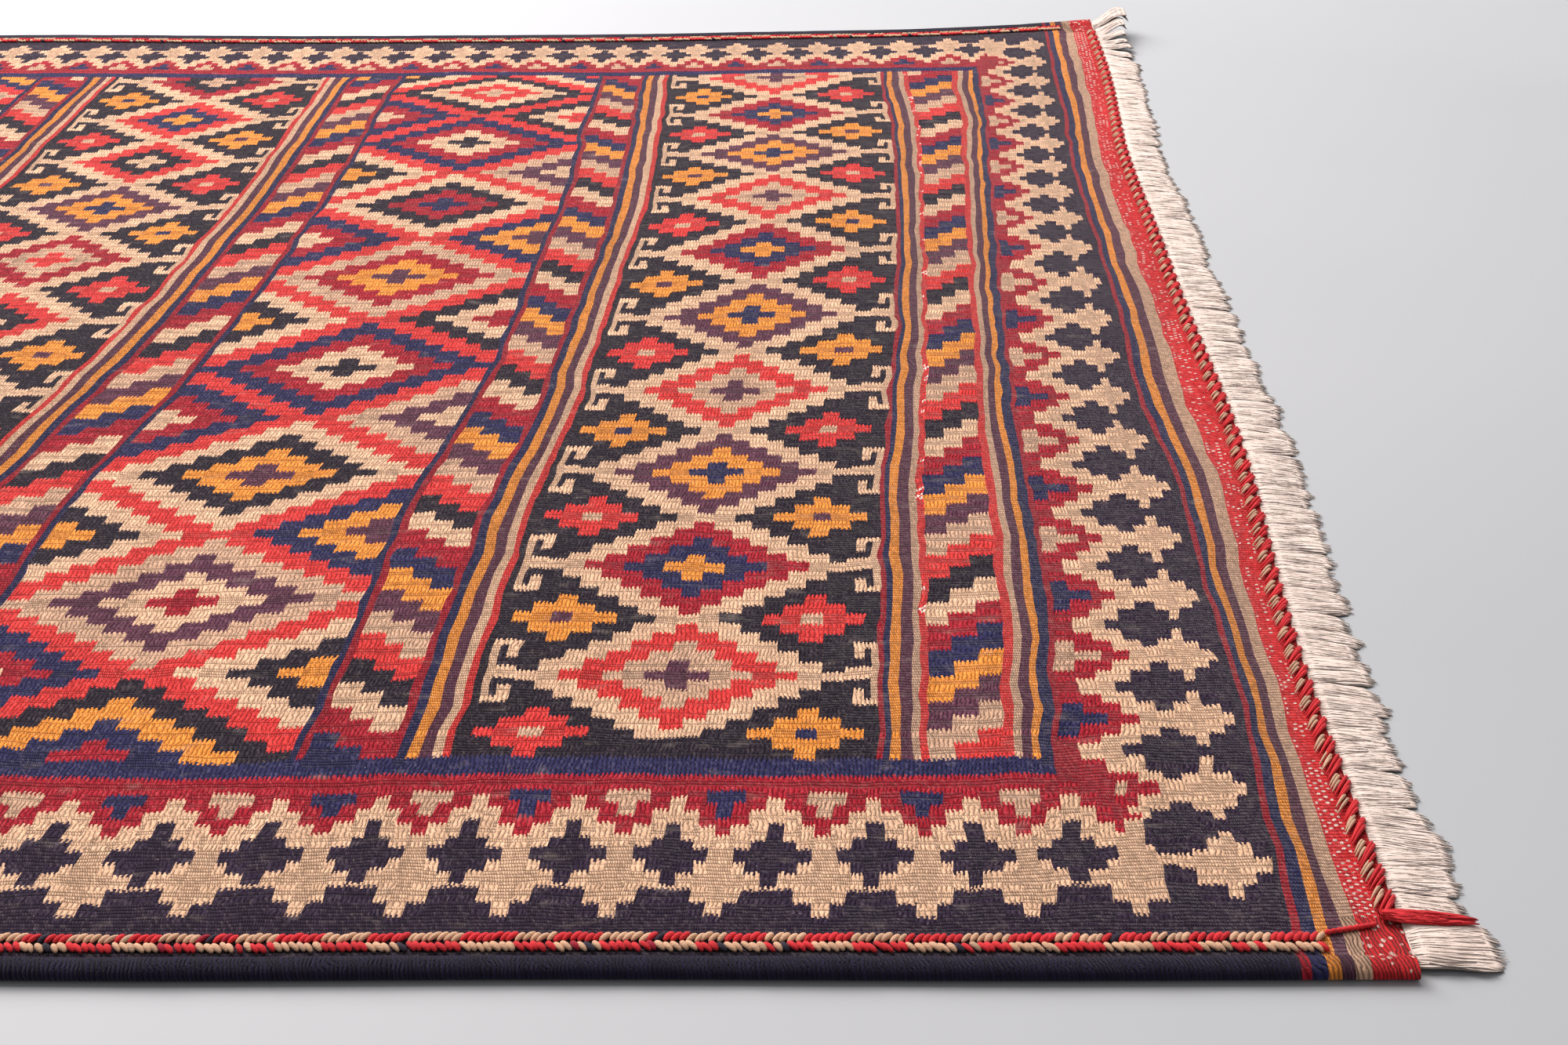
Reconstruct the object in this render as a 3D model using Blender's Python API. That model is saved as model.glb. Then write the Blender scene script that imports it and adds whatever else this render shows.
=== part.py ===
"""A flat-woven kilim rug, lying on a floor as it is: cloth, two edge braids, two end braids, two fringes.

Metres, +Z up. X runs along the warps (the rug's length), +Y from the near selvedge to the far one, and
the floor is Z = 0 under the middle of the rug. Positions on the cloth are given flat, as (along, across)
from its middle, and lay() puts them where the cloth really lies.
"""

import math
import random

import bmesh
import bpy

# Driving sizes
CLOTH_LENGTH = 2.290  # between the two end braids' outer sides, without the fringe
CLOTH_WIDTH = 1.540  # over both selvedges
CLOTH_THICK = 0.0030  # weft-faced wool on cotton warps
SELVEDGE_WIDTH = 0.0145  # the rolled edge: the last warps, bundled and overcast
SELVEDGE_HEIGHT = 0.0065
SELVEDGE_SIDE = 0.0015  # how far the roll's outer side starts above the floor and below its crown
BRAID_WIDTH = 0.0130  # two rows of slanted stitches beside each selvedge
BRAID_HEIGHT = 0.0022
BRAID_INSET = 0.0010  # from the roll to the braid
BRAID_STOP = 0.0300  # the braids stop this far short of the cloth's ends
END_BRAID_WIDTH = 0.0080
END_BRAID_HEIGHT = 0.0020
END_BRAID_OVERHANG = 0.0030  # it covers the join of cloth and fringe
FRINGE_LENGTH = 0.0300
HEADING_WIDTH = 0.0036  # the strip of warp ends that the locks come out of
LOCKS_PER_END = 120
LOCK_SHARE = 0.76  # of the pitch, so that the locks stand apart
CORNER_LOCK_WIDTH = 0.024  # the last warps at a near corner make one thick lock
CLEARANCE = 0.0003
HEADING_GAP = 0.0005

# How finely the cloth is divided
COLUMNS = 44
ROWS = 28

# Soft swells of the cloth off the floor: middle (along, across), reach and height
SWELL_COLUMNS = ("along", "across", "reach_along", "reach_across", "height")
SWELLS = (
    (0.86, 0.18, 0.10, 0.24, 0.0042),
    (0.70, -0.42, 0.12, 0.16, 0.0034),
    (0.52, 0.46, 0.14, 0.18, 0.0040),
    (0.36, -0.16, 0.09, 0.20, 0.0030),
    (-0.34, 0.44, 0.13, 0.17, 0.0036),
    (-0.52, -0.36, 0.15, 0.16, 0.0042),
    (-0.74, 0.14, 0.11, 0.22, 0.0034),
    (-0.92, -0.40, 0.10, 0.15, 0.0030),
    (-0.90, 0.52, 0.10, 0.12, 0.0028),
)
SWELL_FLOOR = 0.0006  # what is under this height stays flat on the floor

# The far right corner curls up a little
CURL_HEIGHT = 0.0090
CURL_REACH = 0.26

# In-plane waves of the cloth, which make its outline uneven: size, length, phase, and drift along the other way
WAVE_COLUMNS = ("size", "length", "phase", "drift")
END_WAVES = ((0.0036, 0.84, 0.12, 0.31), (0.0013, 0.43, 0.55, -0.57))
SIDE_WAVES = ((0.0021, 0.92, 0.20, 0.20), (0.0009, 0.41, 0.70, 0.50))

MATERIALS = {
    "cloth": ((0.30, 0.05, 0.06), 0.92),
    "edge_braid": ((0.62, 0.22, 0.16), 0.90),
    "end_braid": ((0.62, 0.03, 0.04), 0.90),
    "fringe": ((0.80, 0.70, 0.60), 0.95),
}


def rows_of(columns, table):
    """The rows of a table as dictionaries by column name."""
    return [dict(zip(columns, row)) for row in table]


def wave(waves, at, other):
    """The sum of a table's waves at a place, drifting with the other direction."""
    return sum(
        w["size"] * math.sin(math.tau * (at / w["length"] + w["phase"] + w["drift"] * other))
        for w in rows_of(WAVE_COLUMNS, waves)
    )


def curl(along, across):
    """Height of the curled far right corner, zero beyond its reach."""
    away = math.hypot(CLOTH_LENGTH / 2 - along, CLOTH_WIDTH / 2 - across)
    return CURL_HEIGHT * max(0.0, 1 - away / CURL_REACH) ** 2


def lift(along, across):
    """Height of the cloth's underside over the floor."""
    height = 0.0
    for s in rows_of(SWELL_COLUMNS, SWELLS):
        out = ((along - s["along"]) / s["reach_along"]) ** 2
        out += ((across - s["across"]) / s["reach_across"]) ** 2
        height += s["height"] * math.exp(-out)
    return max(0.0, height - SWELL_FLOOR) + curl(along, across)


def lay(along, across, height=0.0):
    """Where a place on the flat cloth really lies, this far above its underside."""
    return (
        along + wave(END_WAVES, across, along),
        across + wave(SIDE_WAVES, along, across),
        lift(along, across) + height,
    )


def between(a, b, share):
    return tuple(p + (q - p) * share for p, q in zip(a, b))


def material_of(name):
    colour, roughness = MATERIALS[name]
    material = bpy.data.materials.get(name) or bpy.data.materials.new(name)
    material.use_nodes = True
    shader = material.node_tree.nodes["Principled BSDF"]
    shader.inputs["Base Color"].default_value = (*colour, 1.0)
    shader.inputs["Roughness"].default_value = roughness
    return material


def add_object(name, material, mesh_maker):
    """An object of this name from a bmesh that mesh_maker fills."""
    bm = bmesh.new()
    mesh_maker(bm)
    bmesh.ops.recalc_face_normals(bm, faces=bm.faces)
    mesh = bpy.data.meshes.new(name)
    bm.to_mesh(mesh)
    bm.free()
    mesh.materials.append(material_of(material))
    mesh.shade_smooth()
    mesh.set_sharp_from_angle(angle=math.radians(40))
    piece = bpy.data.objects.new(name, mesh)
    bpy.context.scene.collection.objects.link(piece)
    return piece


def stations():
    return [CLOTH_LENGTH * (i / COLUMNS - 0.5) for i in range(COLUMNS + 1)]


def cross_section():
    """The cloth's section across the warps: (across, bottom, top) from the near selvedge to the far one."""
    crown = SELVEDGE_HEIGHT - SELVEDGE_SIDE / 6
    inner = SELVEDGE_WIDTH + BRAID_INSET + BRAID_WIDTH + BRAID_INSET
    edge = [
        (0.0, SELVEDGE_SIDE, SELVEDGE_HEIGHT - SELVEDGE_SIDE),
        (SELVEDGE_WIDTH * 0.28, 0.0, crown),
        (SELVEDGE_WIDTH * 0.70, 0.0, crown),
        (SELVEDGE_WIDTH, 0.0, CLOTH_THICK),
        (inner, 0.0, CLOTH_THICK),
    ]
    field = CLOTH_WIDTH - 2 * inner
    flat = [(inner + field * j / ROWS, 0.0, CLOTH_THICK) for j in range(1, ROWS)]
    far = [(CLOTH_WIDTH - across, bottom, top) for across, bottom, top in reversed(edge)]
    return [(across - CLOTH_WIDTH / 2, bottom, top) for across, bottom, top in edge + flat + far]


def loft(bm, rings):
    """Skins closed rings of equal length one after another and caps the first and the last."""
    made = [[bm.verts.new(point) for point in ring] for ring in rings]
    count = len(made[0])
    for ring, following in zip(made, made[1:]):
        for i in range(count):
            j = (i + 1) % count
            bm.faces.new((ring[i], ring[j], following[j], following[i]))
    bm.faces.new(made[0])
    bm.faces.new(made[-1])


def cloth(bm):
    """The whole woven cloth as one sheet, its rolled selvedges and plain-woven end strips included."""
    section = cross_section()
    grids = []
    for side in (1, 2):
        grids.append([[bm.verts.new(lay(a, s[0], s[side])) for s in section] for a in stations()])
    last = len(section) - 1
    for grid in grids:
        for column, following in zip(grid, grid[1:]):
            for j in range(last):
                bm.faces.new((column[j], column[j + 1], following[j + 1], following[j]))
    bottom, top = grids
    for i in range(COLUMNS):
        for j in (0, last):
            bm.faces.new((bottom[i][j], bottom[i + 1][j], top[i + 1][j], top[i][j]))
    for i in (0, COLUMNS):
        for j in range(last):
            bm.faces.new((bottom[i][j], bottom[i][j + 1], top[i][j + 1], top[i][j]))


def edge_braid(side):
    """The two-row braid beside the near (-1) or far (+1) selvedge, lying on the cloth."""
    floor = CLOTH_THICK + CLEARANCE
    low = BRAID_HEIGHT * 0.45
    profile = (
        (0.0, 0.0), (0.04, low), (0.25, BRAID_HEIGHT), (0.50, low),
        (0.75, BRAID_HEIGHT), (0.96, low), (1.0, 0.0),
    )
    outer = CLOTH_WIDTH / 2 - SELVEDGE_WIDTH - BRAID_INSET
    reach = CLOTH_LENGTH / 2 - BRAID_STOP
    along = [-reach] + [a for a in stations() if abs(a) < reach - 0.01] + [reach]

    def mesh_maker(bm):
        rings = []
        for a in along:
            rings.append([lay(a, side * (outer - BRAID_WIDTH * w), floor + h) for w, h in profile])
        loft(bm, rings)

    return mesh_maker


def end_edge(end, across, section):
    """A place on the underside of the cloth's left (-1) or right (+1) end, on the facets of the cloth."""
    column = end * CLOTH_LENGTH / 2
    for here, following in zip(section, section[1:]):
        if across <= following[0]:
            share = (across - here[0]) / (following[0] - here[0])
            return between(lay(column, here[0]), lay(column, following[0]), share)
    return lay(column, section[-1][0])


def end_braid(end):
    """The slanted red and tan braid that covers the join of the cloth and the fringe."""
    floor = CLOTH_THICK + CLEARANCE
    profile = (
        (0.0, 0.0), (0.12, END_BRAID_HEIGHT * 0.7), (0.5, END_BRAID_HEIGHT),
        (0.88, END_BRAID_HEIGHT * 0.7), (1.0, 0.0),
    )
    section = cross_section()
    inset = section[4][0]
    across = [s[0] for s in section if abs(s[0]) <= abs(inset) + CLEARANCE]

    def mesh_maker(bm):
        rings = []
        for v in across:
            x, y, z = end_edge(end, v, section)
            start = x + end * (END_BRAID_OVERHANG - END_BRAID_WIDTH)
            rings.append([(start + end * END_BRAID_WIDTH * w, y, z + floor + h) for w, h in profile])
        loft(bm, rings)

    return mesh_maker


def lock_plan(end):
    """Each lock of one end: its place across, width, length and lean, in loose groups that lean together."""
    draw = random.Random(41 if end > 0 else 67)
    half = CLOTH_WIDTH / 2 - SELVEDGE_SIDE
    start = -half + CORNER_LOCK_WIDTH
    pitch = (half - start) / LOCKS_PER_END
    locks = [(-half + CORNER_LOCK_WIDTH / 2, CORNER_LOCK_WIDTH * 0.88, FRINGE_LENGTH * 1.04, 0.0)]
    lean, left = 0.0, 0
    for i in range(LOCKS_PER_END):
        if left == 0:
            left = draw.randint(2, 5)
            lean = draw.uniform(-0.0012, 0.0012)
        left -= 1
        middle = start + pitch * (i + 0.5)
        swell = 0.0016 * math.sin(math.tau * middle / 0.37) + 0.0010 * math.sin(math.tau * middle / 0.11)
        length = FRINGE_LENGTH + swell + draw.uniform(-0.0016, 0.0010)
        locks.append((middle, pitch * LOCK_SHARE, length, lean))
    return locks


def fringe(end):
    """One end's warp ends: a narrow heading strip with locks of cotton that come down to rest on the floor."""
    section = cross_section()
    inner, outer = HEADING_GAP, HEADING_GAP + HEADING_WIDTH
    # Where a lock has this share of its length behind it: thickness, width share
    bends = ((0.50, 0.0026, 0.96), (1.0, 0.0012, 0.72))

    def mesh_maker(bm):
        locks = lock_plan(end)
        edges = []
        for middle, width, _, _ in locks:
            edges += [middle - width / 2, middle + width / 2]
        corners = []
        for across in edges:
            x, y, z = end_edge(end, across, section)
            low, high = z, z + CLOTH_THICK
            corners.append([
                bm.verts.new((x + end * out, y, level))
                for out, level in ((inner, low), (inner, high), (outer, high), (outer, low))
            ])
        for i, (ring, following) in enumerate(zip(corners, corners[1:])):
            for a, b in ((0, 1), (1, 2), (3, 0)):
                bm.faces.new((ring[a], ring[b], following[b], following[a]))
            if i % 2:
                bm.faces.new((ring[2], ring[3], following[3], following[2]))
        bm.faces.new(corners[0])
        bm.faces.new(corners[-1])
        for number, (middle, width, length, lean) in enumerate(locks):
            near, far = corners[2 * number], corners[2 * number + 1]
            ring = [near[3], near[2], far[2], far[3]]
            x, y, z = end_edge(end, middle, section)
            for share, thick, narrowing in bends:
                floor = z * (1 - share) ** 2
                half = width * narrowing / 2
                out = x + end * (outer + length * share)
                side = y + lean * share
                made = [
                    bm.verts.new(p)
                    for p in (
                        (out, side - half, floor), (out, side - half, floor + thick),
                        (out, side + half, floor + thick), (out, side + half, floor),
                    )
                ]
                for a in range(4):
                    b = (a + 1) % 4
                    bm.faces.new((ring[a], ring[b], made[b], made[a]))
                ring = made
            bm.faces.new(ring)

    return mesh_maker


def centre(pieces):
    """Moves the pieces so that the middle of the whole rug's box is over the origin, through one parent."""
    points = [corner for piece in pieces for corner in piece.bound_box]
    rug = bpy.data.objects.new("rug", None)
    bpy.context.scene.collection.objects.link(rug)
    for axis in (0, 1):
        values = [p[axis] for p in points]
        rug.location[axis] = -(min(values) + max(values)) / 2
    for piece in pieces:
        piece.parent = rug


def build():
    for old in list(bpy.data.objects):
        bpy.data.objects.remove(old)
    pieces = [
        add_object("cloth", "cloth", cloth),
        add_object("braid_near", "edge_braid", edge_braid(-1)),
        add_object("braid_far", "edge_braid", edge_braid(1)),
    ]
    for end, word in ((1, "right"), (-1, "left")):
        pieces.append(add_object("end_braid_" + word, "end_braid", end_braid(end)))
        pieces.append(add_object("fringe_" + word, "fringe", fringe(end)))
    centre(pieces)


build()
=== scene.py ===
"""A flat-woven kilim rug with a cotton fringe at each end, lying flat on a floor.

Metres, in the frame of the solids: +X runs along the warps, +Y from the near selvedge to the far one.
A place on the cloth is given flat, as (along from the middle, across from the near selvedge), and
laid() puts it where the cloth really lies. One section follows for each group of pieces.
"""

import bisect
import math
import random
from collections import defaultdict

import bpy
from mathutils import Matrix, Vector, noise


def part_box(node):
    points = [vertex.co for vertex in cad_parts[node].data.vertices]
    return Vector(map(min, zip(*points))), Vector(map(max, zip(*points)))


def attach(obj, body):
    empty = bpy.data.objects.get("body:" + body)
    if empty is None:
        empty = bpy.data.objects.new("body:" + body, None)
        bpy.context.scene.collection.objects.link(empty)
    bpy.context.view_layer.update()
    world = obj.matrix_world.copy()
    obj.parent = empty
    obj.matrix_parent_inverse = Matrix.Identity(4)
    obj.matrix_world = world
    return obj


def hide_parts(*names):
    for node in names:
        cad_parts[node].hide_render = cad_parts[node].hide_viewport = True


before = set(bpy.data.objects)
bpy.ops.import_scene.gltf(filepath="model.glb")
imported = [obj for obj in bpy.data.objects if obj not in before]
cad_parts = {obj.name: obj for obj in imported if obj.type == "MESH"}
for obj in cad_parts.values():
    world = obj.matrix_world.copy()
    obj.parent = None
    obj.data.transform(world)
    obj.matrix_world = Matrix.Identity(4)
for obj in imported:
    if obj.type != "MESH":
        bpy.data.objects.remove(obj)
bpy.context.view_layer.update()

# ---------------------------------------------------------------------------------------------------
# Camera: a 50 mm lens on a 36 mm wide sensor. It stands half a metre over the floor, off the rug's near
# right corner, and looks down over the rug at about 26 degrees.

CAMERA_PLACE = (0.9345, -1.462, 0.549)
CAMERA_YAW = math.radians(2.97)  # to the left of +Y
CAMERA_PITCH = math.radians(26.39)  # down
CAMERA_ROLL = math.radians(1.56)

camera = bpy.data.objects.new("camera", bpy.data.cameras.new("camera"))
camera.data.lens = 50.0
camera.data.sensor_width = 36.0
level_right = Vector((math.cos(CAMERA_YAW), math.sin(CAMERA_YAW), 0.0))
ahead = Vector((
    -math.sin(CAMERA_YAW) * math.cos(CAMERA_PITCH), math.cos(CAMERA_YAW) * math.cos(CAMERA_PITCH),
    -math.sin(CAMERA_PITCH),
))
level_down = ahead.cross(level_right)
picture_right = level_right * math.cos(CAMERA_ROLL) + level_down * math.sin(CAMERA_ROLL)
picture_down = level_down * math.cos(CAMERA_ROLL) - level_right * math.sin(CAMERA_ROLL)
turned = Matrix((picture_right, -picture_down, -ahead)).transposed().to_4x4()
camera.matrix_world = Matrix.Translation(CAMERA_PLACE) @ turned
bpy.context.scene.collection.objects.link(camera)
bpy.context.scene.camera = camera


# ---------------------------------------------------------------------------------------------------
# Floor and light: a plain pale floor of fine plaster, one large soft light from the back left, a wider one
# from above, and a pale room that fills the shadows.


def linear(code):
    """The linear RGBA of an sRGB hex colour."""
    parts = [int(code[i:i + 2], 16) / 255 for i in (1, 3, 5)]
    return (*[p / 12.92 if p <= 0.04045 else ((p + 0.055) / 1.055) ** 2.4 for p in parts], 1.0)


def node(tree, kind, inputs=None, **settings):
    """Adds a shader node with its settings; inputs are values, sockets, or nodes whose first output is linked."""
    made = tree.nodes.new("ShaderNode" + kind)
    for key, value in settings.items():
        setattr(made, key, value)
    for key, value in (inputs or {}).items():
        if isinstance(value, bpy.types.Node):
            value = value.outputs[0]
        if isinstance(value, bpy.types.NodeSocket):
            tree.links.new(value, made.inputs[key])
        else:
            made.inputs[key].default_value = value
    return made


def new_material(name):
    """An empty material, as (material, node tree)."""
    material = bpy.data.materials.new(name)
    material.use_nodes = True
    material.node_tree.nodes.clear()
    return material, material.node_tree


FLOOR_SIZE = 14.0

# Fine plaster, trowelled flat: pale, matt and faintly cloudy over most of a metre.
plaster, tree = new_material("fine_plaster")
place = node(tree, "TexCoord")
cloudy = node(tree, "TexNoise", {"Vector": place.outputs["Object"], "Scale": 1.3, "Detail": 5.0})
tone = node(tree, "ValToRGB", {"Fac": cloudy.outputs["Fac"]})
tone.color_ramp.elements[0].color = linear("#B0B8BE")
tone.color_ramp.elements[1].color = linear("#BFC6CB")
shader = node(tree, "BsdfPrincipled", {"Base Color": tone, "Roughness": 0.62})
node(tree, "OutputMaterial", {"Surface": shader})

half = FLOOR_SIZE / 2
floor_mesh = bpy.data.meshes.new("floor")
floor_mesh.from_pydata([(-half, -half, 0), (half, -half, 0), (half, half, 0), (-half, half, 0)], [], [(0, 1, 2, 3)])
floor_mesh.materials.append(plaster)
floor = bpy.data.objects.new("floor", floor_mesh)
bpy.context.scene.collection.objects.link(floor)

# name, place, what it looks at, size, watts, colour
LIGHTS = (
    ("window", (-1.8, 3.4, 2.7), (0.2, 0.4, 0.0), 2.8, 250.0, "#FFF7F4"),
    ("sky", (-0.2, 1.8, 3.2), (0.2, 0.3, 0.0), 3.4, 150.0, "#FFF2EC"),
)
for name, at, aim, size, watts, colour in LIGHTS:
    lamp = bpy.data.lights.new(name, "AREA")
    lamp.size, lamp.energy, lamp.color = size, watts, linear(colour)[:3]
    holder = bpy.data.objects.new(name, lamp)
    holder.location = at
    holder.rotation_euler = (Vector(aim) - Vector(at)).to_track_quat("-Z", "Y").to_euler()
    bpy.context.scene.collection.objects.link(holder)

room = bpy.data.worlds.new("room")
room.use_nodes = True
room.node_tree.nodes["Background"].inputs["Color"].default_value = linear("#F3ECEC")
room.node_tree.nodes["Background"].inputs["Strength"].default_value = 0.32
bpy.context.scene.world = room
bpy.context.scene.view_settings.view_transform = "Standard"


# ---------------------------------------------------------------------------------------------------
# Cloth: one weft-faced wool kilim. Cotton warps run along X and dyed wool wefts cross them, so colours
# meet cleanly across the rug and in a comb of interlocked loops along it. The last warps of each long
# side are bundled and overcast into a rolled selvedge. The yarns are plain, hand-spun and matt.

CLOTH_LENGTH = 2.290
CLOTH_WIDTH = 1.540
CLOTH_THICK = 0.0030
SELVEDGE_WIDTH = 0.0145
UNDER_GAP = 0.0002  # the underside clears the floor by this much

SWELLS = (  # middle along and across, reach along and across, height
    (0.86, 0.18, 0.10, 0.24, 0.0042),
    (0.70, -0.42, 0.12, 0.16, 0.0034),
    (0.52, 0.46, 0.14, 0.18, 0.0040),
    (0.36, -0.16, 0.09, 0.20, 0.0030),
    (-0.34, 0.44, 0.13, 0.17, 0.0036),
    (-0.52, -0.36, 0.15, 0.16, 0.0042),
    (-0.74, 0.14, 0.11, 0.22, 0.0034),
    (-0.92, -0.40, 0.10, 0.15, 0.0030),
    (-0.90, 0.52, 0.10, 0.12, 0.0028),
    (-0.02, 0.72, 0.42, 0.30, 0.0090),
)
SWELL_FLOOR = 0.0006  # a swell lower than this lies flat
CURL_HEIGHT = 0.0090  # of the far right corner
CURL_REACH = 0.26
END_WAVES = ((0.0036, 0.84, 0.12, 0.31), (0.0013, 0.43, 0.55, -0.57))  # size, length, phase, drift
SIDE_WAVES = ((0.0021, 0.92, 0.20, 0.20), (0.0009, 0.41, 0.70, 0.50))


def wave(waves, at, other):
    """How far an edge wanders from straight."""
    return sum(
        size * math.sin(math.tau * (at / length + phase + drift * other)) for size, length, phase, drift in waves
    )


def lifted(along, across):
    """Height of the underside over the floor, for a place measured from the middle."""
    height = sum(
        high * math.exp(-(((along - a) / reach_a) ** 2) - ((across - c) / reach_c) ** 2)
        for a, c, reach_a, reach_c, high in SWELLS
    )
    away = math.hypot(CLOTH_LENGTH / 2 - along, CLOTH_WIDTH / 2 - across)
    return max(0.0, height - SWELL_FLOOR) + CURL_HEIGHT * max(0.0, 1 - away / CURL_REACH) ** 2


# The solids' frame has its origin under the middle of the whole rug's box, a few millimetres off the cloth's.
ring = [i / 400 - 0.5 for i in range(401)]
first_x = min(-CLOTH_LENGTH / 2 + wave(END_WAVES, CLOTH_WIDTH * r, -CLOTH_LENGTH / 2) for r in ring)
first_y = min(-CLOTH_WIDTH / 2 + wave(SIDE_WAVES, CLOTH_LENGTH * r, -CLOTH_WIDTH / 2) for r in ring)
shift_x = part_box("cloth")[0][0] - first_x
shift_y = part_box("cloth")[0][1] - first_y


def laid(along, side, height=0.0):
    """Where a place on the flat cloth lies, side measured from the near selvedge, height from the underside."""
    across = side - CLOTH_WIDTH / 2
    return Vector((
        along + wave(END_WAVES, across, along) + shift_x,
        across + wave(SIDE_WAVES, along, across) + shift_y,
        lifted(along, across) + height,
    ))


# The rolled selvedge's section: side, height over the underside. A negative side is on the underside.
ROLL = (
    (-SELVEDGE_WIDTH, UNDER_GAP), (-0.0040, UNDER_GAP), (-0.0018, 0.0008), (-0.0006, 0.0019), (0.0, 0.0033),
    (0.0006, 0.0045), (0.0018, 0.0056), (0.0040, 0.0063), (0.0070, 0.0066), (0.0100, 0.0061),
    (0.0125, 0.0046), (SELVEDGE_WIDTH, CLOTH_THICK),
)

# Yarns by number, with the colour of each
YARNS = {
    "charcoal": "#2A2330", "navy": "#31263A", "blue": "#2B2C54", "dark_red": "#A32030", "red": "#D43A39",
    "orange": "#EA9440", "purple": "#5E374A", "tan": "#CBA68B", "cream": "#DFB898", "end_red": "#DA2E33",
    # The edge yarn of the rolls is darker than the navy, partly as painted shade for the shadow the roll lies in
    "cotton": "#EFE2D6", "edge": "#24203A",
}
YARN_NAMES = list(YARNS)


def yarn(name):
    """A yarn's number."""
    return YARN_NAMES.index(name)


UNIT = 1e-5  # places on the flat cloth are whole numbers of this, so that shared corners are found exactly
LONGEST = 1250  # no face is longer than this many of them

faces_flat = []  # west, east, south, north, own yarn, yarn to the south, yarn to the north
on_column = defaultdict(set)
on_row = defaultdict(set)


def whole(metres):
    """A distance as a whole number of units."""
    return int(round(metres / UNIT))


def weave(columns, rows, yarn_at):
    """Adds a block of the pattern, from its column and row edges in metres and a rule (column, row) -> yarn."""
    columns, rows = [whole(c) for c in columns], [whole(r) for r in rows]
    plan = [[yarn_at(i, j) for j in range(len(rows) - 1)] for i in range(len(columns) - 1)]
    i = 0
    while i < len(plan):
        k = i + 1
        while k < len(plan) and plan[k] == plan[i] and columns[k + 1] - columns[i] <= LONGEST:
            k += 1
        j = 0
        while j < len(plan[i]):
            m = j + 1
            while m < len(plan[i]) and plan[i][m] == plan[i][j] and rows[m + 1] - rows[j] <= LONGEST:
                m += 1
            below = plan[i][j - 1] if j else plan[i][j]
            above = plan[i][m] if m < len(plan[i]) else plan[i][j]
            faces_flat.append((columns[i], columns[k], rows[j], rows[m], plan[i][j], below, above))
            j = m
        i = k


def steps(start, end, longest=0.024):
    """Even edges from start to end."""
    count = max(1, math.ceil(abs(end - start) / longest - 1e-6))
    return [start + (end - start) * i / count for i in range(count + 1)]


def joined(edges, more, least=0.0012):
    """Both lists of edges in one, without those of the second that come too close to another one."""
    edges = list(edges)
    for edge in more:
        if all(abs(edge - other) >= least for other in edges):
            edges.append(edge)
    return sorted(edges)


HALF = CLOTH_LENGTH / 2
FIELD_NEAR = 0.161  # the field starts this far from each long side
FIELD_HEIGHT = CLOTH_WIDTH - 2 * FIELD_NEAR
LINE_MIDDLE = 0.154  # the middle of the blue line round the field, where border and field are joined
STRIPES_WIDTH = 0.050  # the end stripes take this much of each end
BANDS_START = 0.143  # and the bands start this far from it
BRAID_BED = 0.0285  # the edge braid lies on plain cloth that ends this far from the side
draw = random.Random(5)


# How far the woven rows lie from even ones, by height in the field or in the whole cloth, in millimetres
PACE = {
    "hooked": (
        (0, 0), (88, -12), (212, -20), (335, -23), (459, -22), (583, -15), (707, -6), (831, -3), (954, -2),
        (1078, -2), (1218, 0),
    ),
    "nested": ((0, 0), (168, -12), (330, -15), (492, -9), (655, 3), (817, 10), (980, 12), (1142, 11), (1218, 0)),
    "stair": ((0, 0), (168, -9), (305, -14), (440, -12), (609, 0), (770, 5), (914, 8), (1060, 6), (1218, 0)),
    "border": (
        (154, 0), (200, -7), (234, -10), (301, -15), (368, -17), (502, -20), (703, -20), (770, -16), (837, -6),
        (904, 0), (1386, 0),
    ),
}


def paced(height, kind):
    """A height as the weaver packed it."""
    table = PACE[kind]
    for low, high in zip(table, table[1:]):
        if height * 1000 <= high[0]:
            break
    share = min(1.0, max(0.0, (height * 1000 - low[0]) / (high[0] - low[0])))
    return height + (low[1] + (high[1] - low[1]) * share) / 1000


def field_row(height, kind):
    """Where a height over the field's near edge comes across the cloth."""
    return FIELD_NEAR + paced(height, kind)


def field_rows(count, kind, jitter=0.0006):
    """The row edges of a band of the field with this many rows, with half of the blue line at both ends."""
    edges = [field_row(FIELD_HEIGHT * j / count, kind) for j in range(count + 1)]
    for j in range(1, count):
        edges[j] += draw.uniform(-jitter, jitter)
    return [LINE_MIDDLE, *edges, CLOTH_WIDTH - LINE_MIDDLE]


def with_line(rule, count):
    """A rule for the rows of the field, with the blue line's halves added as the first and the last row."""
    return lambda i, j: yarn("blue") if j in (0, count + 1) else rule(i, j - 1)


# Thin lines between the bands, as (yarn, width), from the band that they follow
EDGE_LINES = (("orange", 0.004), ("purple", 0.005), ("tan", 0.004), ("red", 0.005))
FIRST_LINES = (
    ("red", 0.004), ("tan", 0.004), ("purple", 0.006), ("orange", 0.005), ("blue", 0.003), ("dark_red", 0.003),
)
DIAMOND_LINES = (
    ("red", 0.004), ("cream", 0.005), ("purple", 0.006), ("orange", 0.006), ("blue", 0.005), ("dark_red", 0.004),
)
WIDE_LINES = (("dark_red", 0.004), ("blue", 0.004))

HOOKED = [  # outer, middle and centre yarn of each diamond from the near side
    ("red", "tan", "purple"), ("dark_red", "blue", "orange"), ("purple", "orange", "blue"),
    ("red", "tan", "purple"), ("purple", "orange", "blue"), ("dark_red", "blue", "orange"),
    ("red", "tan", "purple"), ("purple", "orange", "blue"), ("dark_red", "blue", "orange"),
    ("red", "tan", "purple"),
]
HOOKED_SECOND = [  # the same for the second band from the right
    ("red", "tan", "purple"), ("dark_red", "blue", "orange"), ("purple", "orange", "blue"),
    ("red", "tan", "purple"), ("red", "charcoal", "cream"), ("dark_red", "tan", "red"),
    ("purple", "orange", "blue"), ("red", "charcoal", "cream"), ("red", "blue", "orange"),
    ("dark_red", "charcoal", "tan"),
]
HOOKED_PITCH = 12  # rows from one diamond to the next
HOOKED_ROWS = 118
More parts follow.
